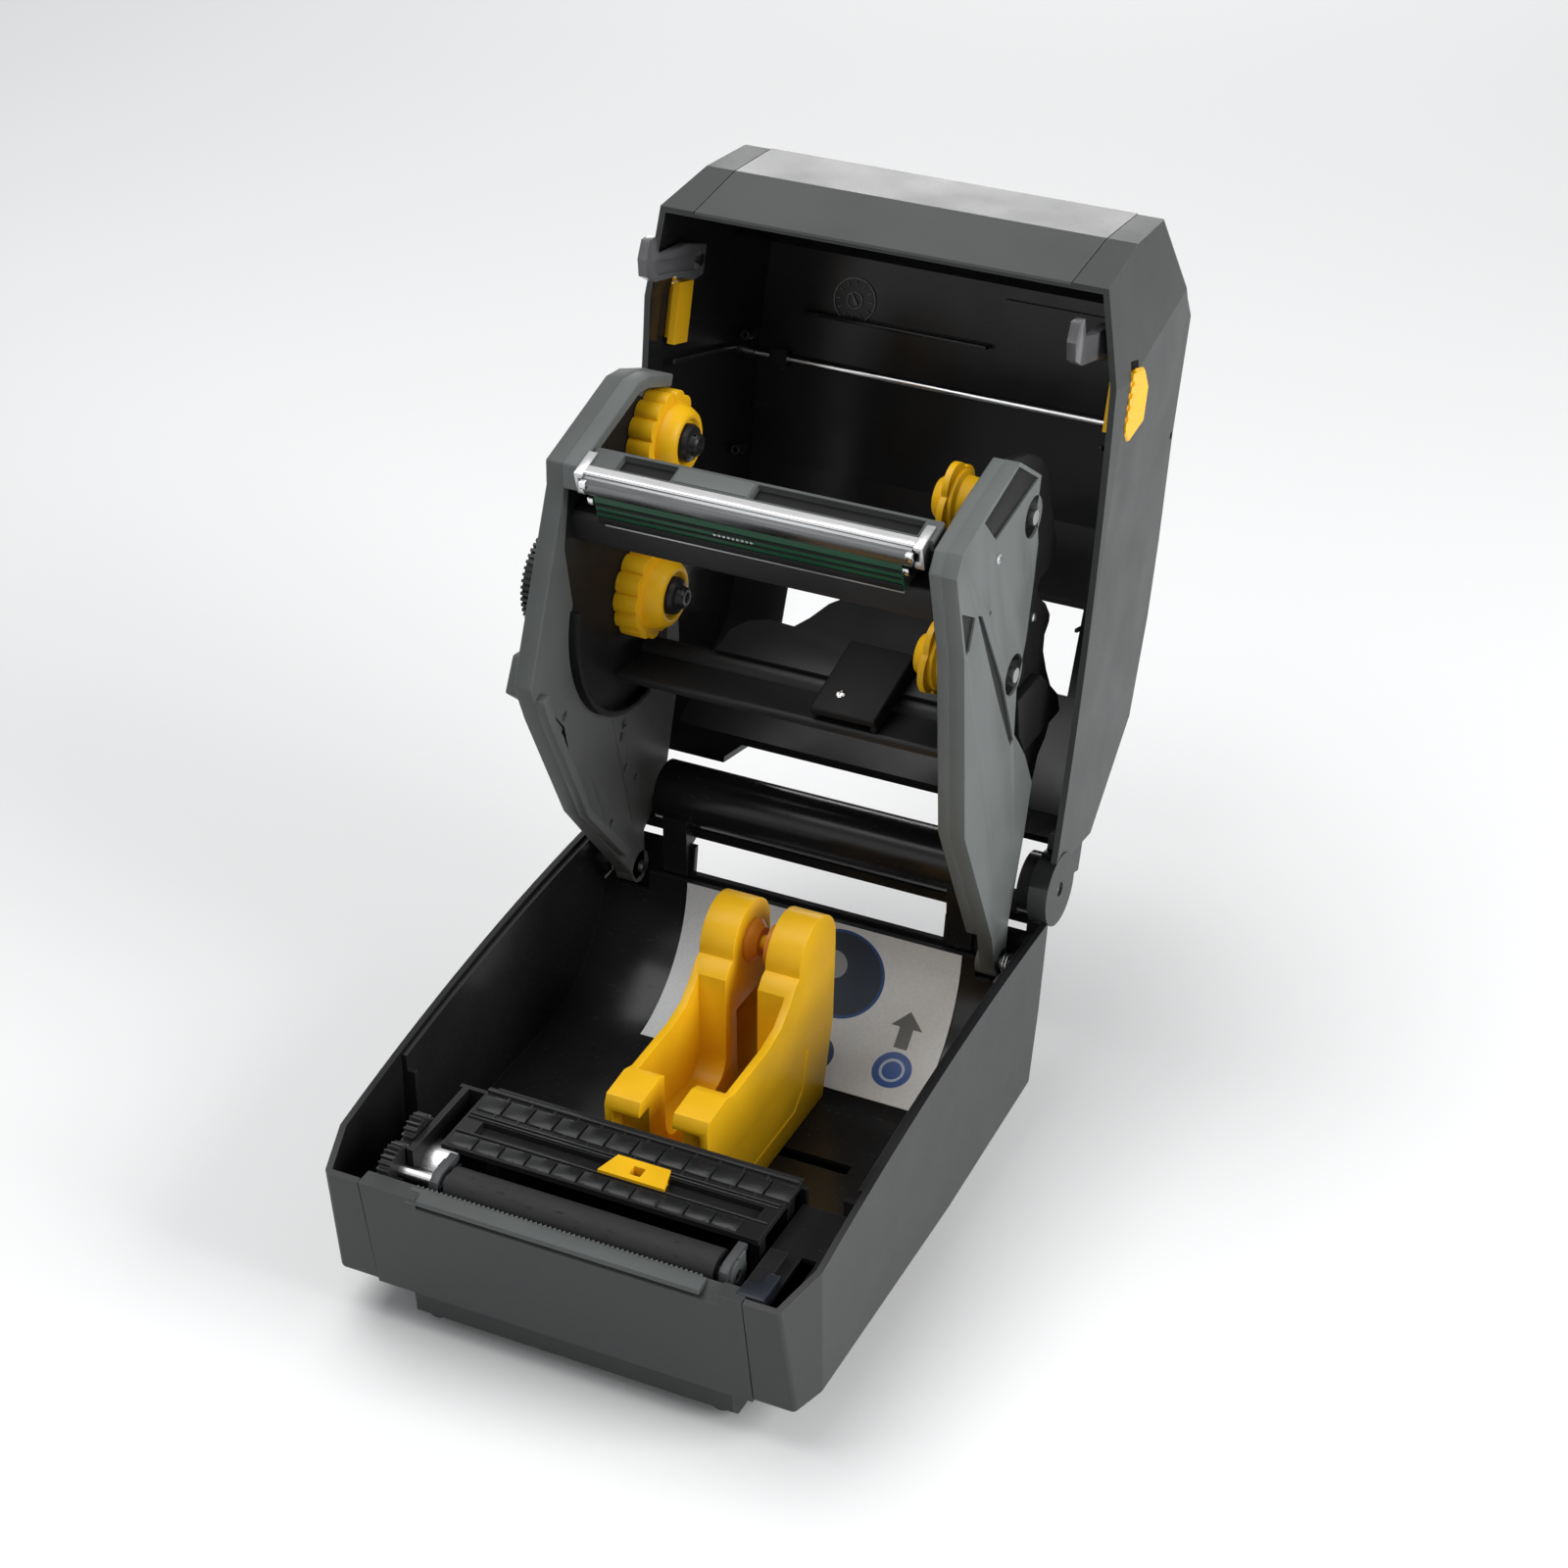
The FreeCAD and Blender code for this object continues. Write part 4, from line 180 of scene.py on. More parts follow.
# The surface group puts out a fine grain, a broad cloudiness, scuffs and a mask of edges,
# which the mouldings use for wear and for a painted edge highlight.
surface, surface_in, surface_out = node_group(
    "moulded_surface",
    [("Grain Scale", "NodeSocketFloat", 2500.0), ("Edge Width", "NodeSocketFloat", 0.0006)],
    [(label, "NodeSocketFloat") for label in ("Grain", "Cloud", "Scuff", "Edge")],
)
place = surface.nodes.new("ShaderNodeTexCoord").outputs["Object"]
surface.links.new(noise(surface, place, surface_in.outputs["Grain Scale"], 2), surface_out.inputs["Grain"])
surface.links.new(noise(surface, place, 38, 4), surface_out.inputs["Cloud"])
stretch = surface.nodes.new("ShaderNodeMapping")
stretch.inputs["Scale"].default_value = (40, 160, 90)
stretch.inputs["Rotation"].default_value = (0.4, 0.9, 0.3)
surface.links.new(place, stretch.inputs["Vector"])
scuff = spread(surface, noise(surface, stretch.outputs["Vector"], 6, 6), 0, 1, 0.62, 0.72)
surface.links.new(scuff, surface_out.inputs["Scuff"])
rounded_normal = surface.nodes.new("ShaderNodeBevel")
rounded_normal.samples = 4
surface.links.new(surface_in.outputs["Edge Width"], rounded_normal.inputs["Radius"])
flat_normal = surface.nodes.new("ShaderNodeNewGeometry").outputs["Normal"]
likeness = surface.nodes.new("ShaderNodeVectorMath")
likeness.operation = "DOT_PRODUCT"
surface.links.new(rounded_normal.outputs["Normal"], likeness.inputs[0])
surface.links.new(flat_normal, likeness.inputs[1])
surface.links.new(spread(surface, likeness.outputs["Value"], 1, 0, 0.8, 0.985), surface_out.inputs["Edge"])

# The inner side group is 1 on the faces of a shell that look towards its middle.
inner_side, inner_in, inner_out = node_group(
    "inner_side", [("Middle", "NodeSocketVector", (0, 0, 0))], [("Inside", "NodeSocketFloat")]
)
coordinates = inner_side.nodes.new("ShaderNodeTexCoord")
outward = inner_side.nodes.new("ShaderNodeVectorMath")
outward.operation = "SUBTRACT"
inner_side.links.new(coordinates.outputs["Object"], outward.inputs[0])
inner_side.links.new(inner_in.outputs["Middle"], outward.inputs[1])
facing = inner_side.nodes.new("ShaderNodeVectorMath")
facing.operation = "DOT_PRODUCT"
inner_side.links.new(outward.outputs["Vector"], facing.inputs[0])
inner_side.links.new(coordinates.outputs["Normal"], facing.inputs[1])
inner_side.links.new(
    sum_up(inner_side, "LESS_THAN", facing.outputs["Value"], 0.0), inner_out.inputs["Inside"]
)


def place_group(tree, group, **values):
    """A shader group placed in a material with its own values."""
    node = tree.nodes.new("ShaderNodeGroup")
    node.node_tree = group
    for label, value in values.items():
        node.inputs[label.replace("_", " ")].default_value = value
    return node


def moulding(
    name, colour, rough, grain=2500, depth=0.05, edge=1.5, scuffs=0.1,
    inside=None, middle=None, shine_level=0.22
):
    """A moulded plastic. Its edges are a little paler, partly wear and partly a painted highlight
    (darker where edge is below 1), its gloss varies, and a shell's inner faces can take another
    colour and gloss."""
    material = bpy.data.materials.new(name)
    material.use_nodes = True
    tree = material.node_tree
    shader = tree.nodes["Principled BSDF"]
    shader.inputs["Specular IOR Level"].default_value = shine_level
    face = place_group(tree, surface, Grain_Scale=grain)
    # Edge tone: paler edges are partly wear and partly a painted highlight; an edge below 1 paints them
    # darker.
    pale = tuple(min(channel * edge + 0.01, 1) for channel in colour)
    deep = tuple(channel * 0.86 for channel in colour)
    tone = blend_colour(tree, spread(tree, face.outputs["Cloud"], 0, 1), deep, colour)
    tone = blend_colour(tree, sum_up(tree, "MULTIPLY", face.outputs["Edge"], 0.7), tone, pale)
    gloss = spread(tree, face.outputs["Cloud"], rough - 0.05, rough + 0.05)
    gloss = sum_up(tree, "ADD", gloss, sum_up(tree, "MULTIPLY", face.outputs["Scuff"], scuffs))
    relief = face.outputs["Grain"]
    if inside:
        inner_colour, inner_rough = inside
        side = place_group(tree, inner_side, Middle=middle).outputs["Inside"]
        tone = blend_colour(tree, side, tone, inner_colour)
        shine = spread(tree, face.outputs["Cloud"], inner_rough - 0.04, inner_rough + 0.06)
        change = tree.nodes.new("ShaderNodeMix")
        tree.links.new(side, change.inputs["Factor"])
        tree.links.new(gloss, change.inputs[2])
        tree.links.new(shine, change.inputs[3])
        gloss = change.outputs[0]
        relief = sum_up(tree, "MULTIPLY", relief, sum_up(tree, "SUBTRACT", 1.0, side))
    bump = tree.nodes.new("ShaderNodeBump")
    bump.inputs["Strength"].default_value = 0.5
    bump.inputs["Distance"].default_value = depth * MM
    tree.links.new(relief, bump.inputs["Height"])
    tree.links.new(tone, shader.inputs["Base Color"])
    tree.links.new(gloss, shader.inputs["Roughness"])
    tree.links.new(bump.outputs["Normal"], shader.inputs["Normal"])
    return material


def dress(material, *names):
    """Gives CAD nodes their finish."""
    for name in names:
        mesh = nodes[name].data
        mesh.materials.clear()
        mesh.materials.append(material)


POLISHED_BLACK = (0.012, 0.012, 0.013)
base_middle = (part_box("base_shell")[0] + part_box("base_shell")[1]) / 2
base_charcoal = moulding(
    "base_charcoal",
    (0.044, 0.047, 0.047),
    0.44,
    grain=1700,
    depth=0.12,
    inside=(POLISHED_BLACK, 0.2),
    middle=(base_middle.x, base_middle.y, 0.12),
)
dress(base_charcoal, "base_shell")
charcoal = moulding("case_charcoal", (0.044, 0.047, 0.047), 0.44, grain=1700, depth=0.12)
dress(charcoal, "front_bezel", "base_plinth")

# Lid. The big shell is the same charcoal plastic outside and polished black inside, and the
# front panel between its seams is a separate moulding.
lid_low, lid_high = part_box("lid_shell")
lid_middle = ((lid_low.x + lid_high.x) / 2, lid_low.y * 0.6 + lid_high.y * 0.4, (lid_low.z + lid_high.z) / 2)
lid_charcoal = moulding(
    "lid_charcoal",
    (0.044, 0.047, 0.047),
    0.44,
    grain=1700,
    depth=0.12,
    inside=(POLISHED_BLACK, 0.22),
    middle=lid_middle,
)
dress(lid_charcoal, "lid_shell")
panel_charcoal = moulding(
    "panel_charcoal", (0.03, 0.032, 0.032), 0.32, grain=1700, depth=0.05, shine_level=0.5
)
dress(panel_charcoal, "lid_front_panel")
dress(charcoal, "control_panel")

# Black mouldings. The tub, deck, hinge beam and chassis are a glossy black plastic that
# shows fine moulding haze.
glossy_black = moulding(
    "glossy_black", (0.016, 0.016, 0.017), 0.2, grain=900, depth=0.01, edge=3, scuffs=0.16
)
dress(glossy_black, "tub_liner", "media_deck", "hinge_beam", "chassis_frame")
matt_black = moulding("matt_black", (0.02, 0.02, 0.021), 0.42, grain=1400, depth=0.04, edge=2.4)
dress(matt_black, "rear_panel", "power_switch", "power_inlet")
frame_grey = moulding("frame_grey", (0.088, 0.095, 0.093), 0.5, grain=1500, depth=0.08, edge=1.4)
dress(frame_grey, "bearing_left", "bearing_right")
golden = moulding("golden_yellow", (0.86, 0.475, 0.01), 0.36, grain=1100, depth=0.02, edge=1.15)
dress(
    golden,
    *("roll_guide_left", "roll_guide_right", "media_sensor", "latch_left", "latch_right"),
    *("takeup_hub_left", "takeup_hub_right", "supply_hub_left", "supply_hub_right"),
)
gear_black = moulding("gear_black", (0.022, 0.022, 0.023), 0.36, grain=1200, depth=0.02, edge=2.4)
dress(gear_black, "platen_gear", "idler_gear", "motor_pinion", "guide_pinion")

# Roll guides. Two golden arms stand face to face in the tub. Each is moulded with a tall round
# head for its core hub, a flat-topped wall scooped out on the inner side and a boxed foot.
# Places are in millimetres from the case's front edge, its middle plane and the table.
def take(piece):
    """Makes a piece the only one selected."""
    bpy.ops.object.select_all(action="DESELECT")
    piece.select_set(True)
    bpy.context.view_layer.objects.active = piece


def add_modifier(piece, kind, **settings):
    """Adds a modifier with these settings and applies it."""
    take(piece)
    modifier = piece.modifiers.new(kind.lower(), kind)
    for label, value in settings.items():
        setattr(modifier, label, value)
    bpy.ops.object.modifier_apply(modifier=modifier.name)


def soften(piece, width=0.4, segments=2):
    """Rounds the piece's sharp edges."""
    settings = {"limit_method": "ANGLE", "angle_limit": math.radians(32), "use_clamp_overlap": True}
    add_modifier(piece, "BEVEL", width=width * MM, segments=segments, **settings)


def block(name, low, high):
    """A box between two corners."""
    middle = [(a + b) / 2 * MM for a, b in zip(low, high)]
    bpy.ops.object.select_all(action="DESELECT")
    bpy.ops.mesh.primitive_cube_add(
        size=1,
        location=(middle[0], middle[1] + BASE_FRONT, middle[2]),
        scale=[(b - a) * MM for a, b in zip(low, high)],
    )
    piece = bpy.context.object
    piece.name = name
    bpy.ops.object.transform_apply(location=True, rotation=True, scale=True)
    return piece


def plate(name, low, high, outline, holes=(), facing="x"):
    """A flat plate with an outline and holes, between two distances along the axis that it faces.

    The points are (y, z) for a plate that faces x, (x, z) for y and (x, y) for z.
    """
    drawing = bpy.data.curves.new(name, "CURVE")
    drawing.dimensions = "2D"
    drawing.fill_mode = "BOTH"
    drawing.extrude = (high - low) / 2 * MM
    middle = (low + high) / 2 * MM
    for loop in (outline, *holes):
        line = drawing.splines.new("POLY")
        line.points.add(len(loop) - 1)
        for point, (across, up) in zip(line.points, loop):
            point.co = (across * MM, up * MM, 0, 1)
        line.use_cyclic_u = True
    piece = bpy.data.objects.new(name, drawing)
    bpy.context.scene.collection.objects.link(piece)
    take(piece)
    bpy.ops.object.convert(target="MESH")
    piece = bpy.context.object
    stand = {
        "x": Matrix(((0, 0, 1, middle), (1, 0, 0, BASE_FRONT), (0, 1, 0, 0), (0, 0, 0, 1))),
        "y": Matrix(((1, 0, 0, 0), (0, 0, 1, middle + BASE_FRONT), (0, 1, 0, 0), (0, 0, 0, 1))),
        "z": Matrix(((1, 0, 0, 0), (0, 1, 0, BASE_FRONT), (0, 0, 1, middle), (0, 0, 0, 1))),
    }
    piece.data.transform(stand[facing])
    bpy.ops.object.mode_set(mode="EDIT")
    bpy.ops.mesh.select_all(action="SELECT")
    bpy.ops.mesh.remove_doubles(threshold=0.00001)
    bpy.ops.mesh.normals_make_consistent(inside=False)
    bpy.ops.object.mode_set(mode="OBJECT")
    return piece


def arc(y, z, radius, start=0, end=360, count=28):
    """Points along an arc, in degrees counted from +Y towards +Z. A whole turn isn't closed."""
    steps = count if abs(end - start) >= 360 else count - 1
    angles = [math.radians(start + (end - start) * n / steps) for n in range(count)]
    return [(y + radius * math.cos(angle), z + radius * math.sin(angle)) for angle in angles]


def turned(name, place, profile, steps=48, axis=(1, 0, 0)):
    """A turned piece. The profile's points are (distance along the axis, radius)."""
    x, y, z = place
    centre = Vector((x * MM, BASE_FRONT + y * MM, z * MM))
    along = Vector(axis)
    out = along.orthogonal().normalized()
    bpy.ops.object.select_all(action="DESELECT")
    bpy.ops.mesh.primitive_plane_add(size=MM, location=(0, 0, 0))
    piece = bpy.context.object
    piece.name = name
    bpy.ops.object.mode_set(mode="EDIT")
    bpy.ops.mesh.select_all(action="SELECT")
    bpy.ops.mesh.merge(type="CENTER")
    spots = [centre + along * (reach * MM) + out * (radius * MM) for reach, radius in profile]
    bpy.ops.transform.translate(value=spots[0])
    for start, end in zip(spots, spots[1:]):
        bpy.ops.mesh.extrude_vertices_move(TRANSFORM_OT_translate={"value": end - start})
    bpy.ops.mesh.select_all(action="SELECT")
    bpy.ops.mesh.spin(steps=steps, angle=2 * math.pi, center=centre, axis=along)
    bpy.ops.mesh.select_all(action="SELECT")
    bpy.ops.mesh.remove_doubles(threshold=0.000005)
    bpy.ops.mesh.normals_make_consistent(inside=False)
    bpy.ops.object.mode_set(mode="OBJECT")
    return piece


def join(piece, *others):
    """Makes one piece of several."""
    take(piece)
    for other in others:
        other.select_set(True)
    bpy.ops.object.join()
    return piece


def cut(piece, *tools):
    """Takes the tools' shapes away from a piece."""
    for tool in tools:
        add_modifier(piece, "BOOLEAN", operation="DIFFERENCE", object=tool, solver="EXACT")
        bpy.data.objects.remove(tool)


def finish(piece, body, material, slot, *replaced, angle=35):
    """Gives a piece its finish, smooth curved faces and the body that it moves with."""
    piece.data.materials.clear()
    piece.data.materials.append(material)
    take(piece)
    bpy.ops.object.shade_smooth_by_angle(angle=math.radians(angle))
    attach(piece, body)
    if replaced:
        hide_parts(*replaced)
    return piece


CORE_AXIS = (172, 101)
for side, low, high, body in (("left", -15, 0, "guide_left"), ("right", 14, 29, "guide_right")):
    wall = (low - 1, high - 3.2) if side == "right" else (low + 3.2, high + 1)
    outline = [(74, 29.4), (74, 82), (76, 86), (91, 87.2), (97, 85), (126, 85.5), (138, 88), (146, 94)]
    outline += [(152, 100), *arc(*CORE_AXIS, 17, 180, 14, 20), (188.5, 98), (186, 62), (176, 29.4)]
    guide = plate(f"guide_arm_{side}", low, high, outline)
    soften(guide, 1.6, 4)
    scoop = plate("scoop", *wall, [*arc(104, 62, 9, 180, 270, 6), *arc(137, 60, 10, 270, 360, 6), (148, 97)]
                  + [(140, 99), (134, 100), (98, 100), (95, 84)])
    hollow = plate("hollow", *wall, [(157, 36), (172, 36), (181, 62), (181, 76), (157, 76)])
    recess = block("recess", (wall[0], 70, 60), (wall[1], 82, 80))
    notch_low = low - 1 if side == "left" else low + 9
    step = block("step", (notch_low, 72, 29), (notch_low + 7, 78, 57))
    cut(guide, scoop, hollow, recess, step)
    soften(guide, 0.35)
    inward = 1 if side == "left" else -1
    near = high if side == "left" else low
    pin_profile = [(-1, 0), (-1, 3), (6, 3), (6.6, 2.4), (6.6, 0)]
    pin = turned(f"guide_pin_{side}", (near, *CORE_AXIS), pin_profile, 32, (inward, 0, 0))
    guide = join(guide, pin)
    finish(guide, body, golden, "golden_yellow", f"roll_guide_{side}")
    ridge_face = high - 0.4 if side == "right" else low - 0.4
    ridge = plate(f"guide_ridge_{side}", ridge_face, ridge_face + 0.8,
                  [(88, 38), (150, 38), (158, 44), (162, 62), (160, 62), (156, 46), (149, 40), (88, 40)])
    soften(ridge, 0.3)
    finish(ridge, body, golden, "golden_yellow")
core_orange = moulding("core_orange", (0.62, 0.22, 0.02), 0.34, grain=1100, depth=0.02, edge=1.2)
dress(core_orange, "core_hub_left", "core_hub_right")

# Ribbon hubs. The left hubs are knurled thumb wheels with a stepped nose round a black axle
# plug. They swing with the carriage, so they are made as if it were shut and then turned up.
CARRIAGE_PIVOT = (224, 82)
CARRIAGE_ANGLE = 76
LID_HINGE = (247.7, 107.3)
LID_ANGLE = 107


def swing(piece, pivot, degrees):
    """Turns a piece that was made in the shut printer up to where it rests."""
    middle = Matrix.Translation((0, BASE_FRONT + pivot[0] * MM, pivot[1] * MM))
    piece.data.transform(middle @ Matrix.Rotation(math.radians(-degrees), 4, "X") @ middle.inverted())
    return piece


def finish_carriage(piece, material, slot, *replaced, body="carriage", angle=35):
    """Swings a carriage piece up and finishes it."""
    return finish(swing(piece, CARRIAGE_PIVOT, CARRIAGE_ANGLE), body, material, slot, *replaced, angle=angle)


def finish_lid(piece, material, slot, *replaced, body="lid", angle=35):
    """Swings a lid piece open and finishes it."""
    return finish(swing(piece, LID_HINGE, LID_ANGLE), body, material, slot, *replaced, angle=angle)


def lobed(y, z, radius, depth, lobes, flat=1.0, count=10):
    """A wavy rim. The bigger flat is, the broader the lobes and the narrower the dips."""
    points = []
    for step in range(lobes * count):
        turn = 2 * math.pi * step / (lobes * count)
        dip = abs(math.cos(turn * lobes / 2)) ** flat
        reach = radius - depth * (1 - dip)
        points.append((y + reach * math.cos(turn), z + reach * math.sin(turn)))
    return points


def copies_of(piece, moves):
    """Copies of a piece, each with its own mesh, moved by its matrix. The first piece is taken away."""
    copies = []
    for move in moves:
        other = piece.copy()
        other.data = piece.data.copy()
        other.data.transform(move)
        bpy.context.scene.collection.objects.link(other)
        copies.append(other)
    bpy.data.objects.remove(piece)
    return copies


def shift(x=0, y=0, z=0):
    """A move in millimetres."""
    return Matrix.Translation((x * MM, y * MM, z * MM))


HUB_AXES = {"takeup": (40.5, 147), "supply": (96, 117.5)}


def at_both_hubs(piece):
    """Each hub axis with its copy of a piece that was made about the middle."""
    return zip(HUB_AXES, copies_of(piece, [shift(y=y, z=z) for y, z in HUB_AXES.values()]))


wheel = plate("knurl", -77.6, -67.4, lobed(0, 0, 19.6, 2.2, 13, 0.55), [arc(0, 0, 13.6, count=40)])
soften(wheel, 0.9, 3)
nose_profile = [(0.3, 3.2), (0.3, 13.7), (2, 14.8), (11, 15), (14.2, 14.6), (16, 13.6), (17.6, 12.6)]
nose_profile += [(18.4, 11.2), (18.2, 9.8), (16.6, 9), (16.2, 8.6), (16.2, 3.2), (0.3, 3.2)]
nose = turned("nose", (-78, 0, 0), nose_profile)
soften(nose, 0.25)
for name, hub in at_both_hubs(join(wheel, nose)):
    hub.name = f"{name}_wheel"
    finish_carriage(hub, golden, "golden_yellow", f"{name}_hub_left", body=f"{name}_hub_left")
plug_black = moulding("plug_black", (0.015, 0.015, 0.016), 0.3, grain=1200, depth=0.02, edge=3)
plug_profile = [(-3, 0), (-3, 7.6), (2.6, 7.8), (4, 7), (4.6, 4.8)]
plug_profile += [(6.6, 4.4), (7.4, 3.6), (7.4, 2), (6.2, 1.8), (6.2, 0)]
plug = turned("plug", (-62, 0, 0), plug_profile)
cut(plug, block("slot", (-57.4, -5.4, -0.6), (-56, 5.4, 0.6)))
soften(plug, 0.2)
for name, plug in at_both_hubs(plug):
    plug.name = f"{name}_plug"
    finish_carriage(plug, plug_black, "inner_black")

# Right hubs. Each is a winged yellow cone on a sprung steel spindle, with a copper-coloured coil
# behind it. The cone is moulded and its rear is hollowed to a cup that the coil runs into.
wings = plate("wings", 52.6, 55.2, lobed(0, 0, 16.4, 3.4, 4, 0.8, 16), [arc(0, 0, 8.6, count=32)])
soften(wings, 0.8, 3)
cone_profile = [(0, 6.3), (0, 7.4), (0.8, 8), (4.6, 9), (5.6, 10.4), (8.4, 12.6), (10, 12.8), (11, 10.6)]
cone_profile += [(22, 9.8), (22, 8.6), (16, 8.4), (16, 3.2), (14.4, 3.2), (14.4, 6.3), (0, 6.3)]
cone = turned("cone", (47, 0, 0), cone_profile)
soften(cone, 0.3)
for name, hub in at_both_hubs(join(wings, cone)):
    hub.name = f"{name}_winged_hub"
    finish_carriage(hub, golden, "golden_yellow", f"{name}_hub_right", body=f"{name}_hub_right")


def metal(name, colour, rough, lines=(1, 60, 60), strength=0.08):
    """A bare metal with fine drawn lines. The lines run along the axis with the small scale."""
    material = bpy.data.materials.new(name)
    material.use_nodes = True
    tree = material.node_tree
    shader = tree.nodes["Principled BSDF"]
    shader.inputs["Metallic"].default_value = 1
    face = place_group(tree, surface, Grain_Scale=800)
    point = tree.nodes.new("ShaderNodeTexCoord").outputs["Object"]
    stretched = tree.nodes.new("ShaderNodeMapping")
    stretched.inputs["Scale"].default_value = lines
    tree.links.new(point, stretched.inputs["Vector"])
    drawn = noise(tree, stretched.outputs["Vector"], 60, 3)
    dull = tuple(channel * 0.75 for channel in colour)
    tree.links.new(blend_colour(tree, spread(tree, drawn, 0, 1), dull, colour), shader.inputs["Base Color"])
    gloss = spread(tree, face.outputs["Cloud"], rough - 0.04, rough + 0.08)
    tree.links.new(sum_up(tree, "ADD", gloss, spread(tree, drawn, 0, strength)), shader.inputs["Roughness"])
    bump = tree.nodes.new("ShaderNodeBump")
    bump.inputs["Strength"].default_value = 0.3
    bump.inputs["Distance"].default_value = 0.02 * MM
    tree.links.new(drawn, bump.inputs["Height"])
    tree.links.new(bump.outputs["Normal"], shader.inputs["Normal"])
    return material


copper = metal("copper_wire", (0.72, 0.3, 0.14), 0.26)
dress(copper, "hub_springs")
plain_steel = metal("plain_steel", (0.62, 0.62, 0.63), 0.24)
dress(plain_steel, "takeup_spindle", "supply_spindle", "platen_shaft", "pivot_pins", "pivot_springs")
bright_steel = metal("bright_steel", (0.86, 0.86, 0.87), 0.13, lines=(1, 80, 80), strength=0.05)
dress(bright_steel, "lid_rod")

# Right frame. A light grey arched cover with sunken dark panels stands in front of a black inner
# plate that carries the two spindles. Both are moulded and held by three bright screws.
recess_black = moulding(
    "recess_black", (0.008, 0.008, 0.0085), 0.5, grain=1500, depth=0.05, edge=2, shine_level=0.15
)
cover_grey = moulding("cover_grey", (0.125, 0.135, 0.132), 0.46, grain=1100, depth=0.05, edge=1.6)
cover_outline = [(13, 78), (7, 85), (6.5, 112), (8, 140), (28, 157), (38, 151.5), (56, 149), (72, 141)]
cover_outline += [
    (90, 131), (104, 119), (124, 113), (133, 117), (143, 121), (162, 125), (180, 114), (198, 101)
]
cover_outline += [
    (210, 92), (225, 86), (229, 82.6), (227, 77.6), (222, 75.4), (204, 76), (132, 62), (102, 68),
    (52, 77.5)
]
sunken_panels = {
    "upper": [(8.6, 138.3), (27.4, 154.6), (23.5, 113), (8.4, 105)],
    "notch": [(31, 79.2), (42, 90), (52, 82.4), (51.4, 79)],
    "slot": [(43, 92), (46, 95.6), (92, 107.6), (126, 112), (126, 108.4), (95, 101.6)],
}
cover = plate(
    "right_cover", 79.5, 86, cover_outline, [arc(y, z, 8.5, count=36) for y, z in HUB_AXES.values()]
)
cut(cover, *[plate("sunken", 84.8, 88, outline) for outline in sunken_panels.values()])
cut(cover, turned("pin_hole", (84, 50.7, 102.6), [(0, 0), (0, 1), (4, 1), (4, 0)], 16))
soften(cover, 0.5)
flange_outline = [
    (13, 78), (7, 85), (6.5, 112), (8, 140), (13, 144), (12.5, 139), (10.5, 112), (11, 87), (16, 81.5)
]
flange_outline += [(52, 81.5), (102, 72), (132, 66.5), (200, 80), (204, 76), (132, 62), (102, 68), (52, 77.5)]
flange = plate("flange", 74.6, 80, flange_outline)
soften(flange, 0.8, 3)
pivot_boss = turned(
    "boss", (77, 224, 82), [(0, 2.6), (0, 6.2), (8.6, 6.2), (9, 5.8), (9, 3.4), (8.2, 2.6), (0, 2.6)]
)
finish_carriage(join(cover, flange, pivot_boss), cover_grey, "frame_grey", "carriage_right_frame")
for name, outline in sunken_panels.items():
    liner = plate(f"right_panel_{name}", 84.4, 85.1, outline)
    soften(liner, 0.15)
    finish_carriage(liner, recess_black, "inner_black")
inner_outline = [
    (15, 80), (9, 86), (8, 127), (12, 146), (20, 159), (31, 170), (40, 174.5), (50, 176), (60, 175.5)
]
inner_outline += [(70, 176.6), (80, 177), (86, 173), (86, 166), (84, 160), (86, 156.5), (93, 158), (100, 163)]
inner_outline += [
    (108, 166), (112, 164), (114, 159.5), (120, 157), (132, 158.5), (146, 162), (158, 160), (164, 152)
]
inner_outline += [(166, 144), (174, 136), (196, 122), (206, 101), (212, 91), (222, 88), (206, 78), (132, 64)]
inner_outline += [(102, 70), (54, 79)]
inner = plate("right_inner_plate", 77, 81, inner_outline, [arc(y, z, 3.1) for y, z in HUB_AXES.values()])
soften(inner, 1.1, 3)
cup = turned(
    "cup", (81, 0, 0), [(0, 3.1), (0, 9.8), (3.9, 9.8), (3.9, 8.4), (0.8, 7.8), (0.8, 3.1), (0, 3.1)]
)
soften(cup, 0.2)
cups = [copy for name, copy in at_both_hubs(cup)]
wing = plate(
    "wing", 80.8, 85.4, [(120, 144), (143.5, 158), (153.6, 158.5), (143, 123), (131, 119), (113.5, 120.5)]
)
soften(wing, 0.9, 3)
finish_carriage(join(inner, wing, *cups), recess_black, "inner_black")


def screw_head(name, place, axis=(1, 0, 0), radius=2.2, height=0.9):
    """A pan-head screw with a cross recess, its underside at the place."""
    side = radius * 0.72
    profile = [
        (0, 0), (0, radius), (height * 0.45, radius), (height * 0.85, side), (height, radius * 0.3),
        (height, 0)
    ]
    screw = turned(name, (0, 0, 0), profile, 28, (0, 0, 1))
    for first, second in ((radius * 0.62, radius * 0.14), (radius * 0.14, radius * 0.62)):
        cut(screw, block("drive", (-first, -second, height * 0.45), (first, second, height * 1.3)))
    x, y, z = place
    aimed = Vector(axis).to_track_quat("Z", "Y").to_matrix().to_4x4()
    home = Matrix.Translation((0, BASE_FRONT, 0)).inverted()
    screw.data.transform(Matrix.Translation((x * MM, BASE_FRONT + y * MM, z * MM)) @ aimed @ home)
    return screw


SCREW_PLACES = ((86, 33, 113.5), (81, 158, 130), (81, 96, 150))
screws = copies_of(screw_head("screw", (0, 0, 0)), [shift(*place) for place in SCREW_PLACES])
for number, screw in enumerate(screws):
    screw.name = f"frame_screw_{number}"
    replaced = ("carriage_screws",) if number == 0 else ()
    finish_carriage(screw, plain_steel, "steel", *replaced)
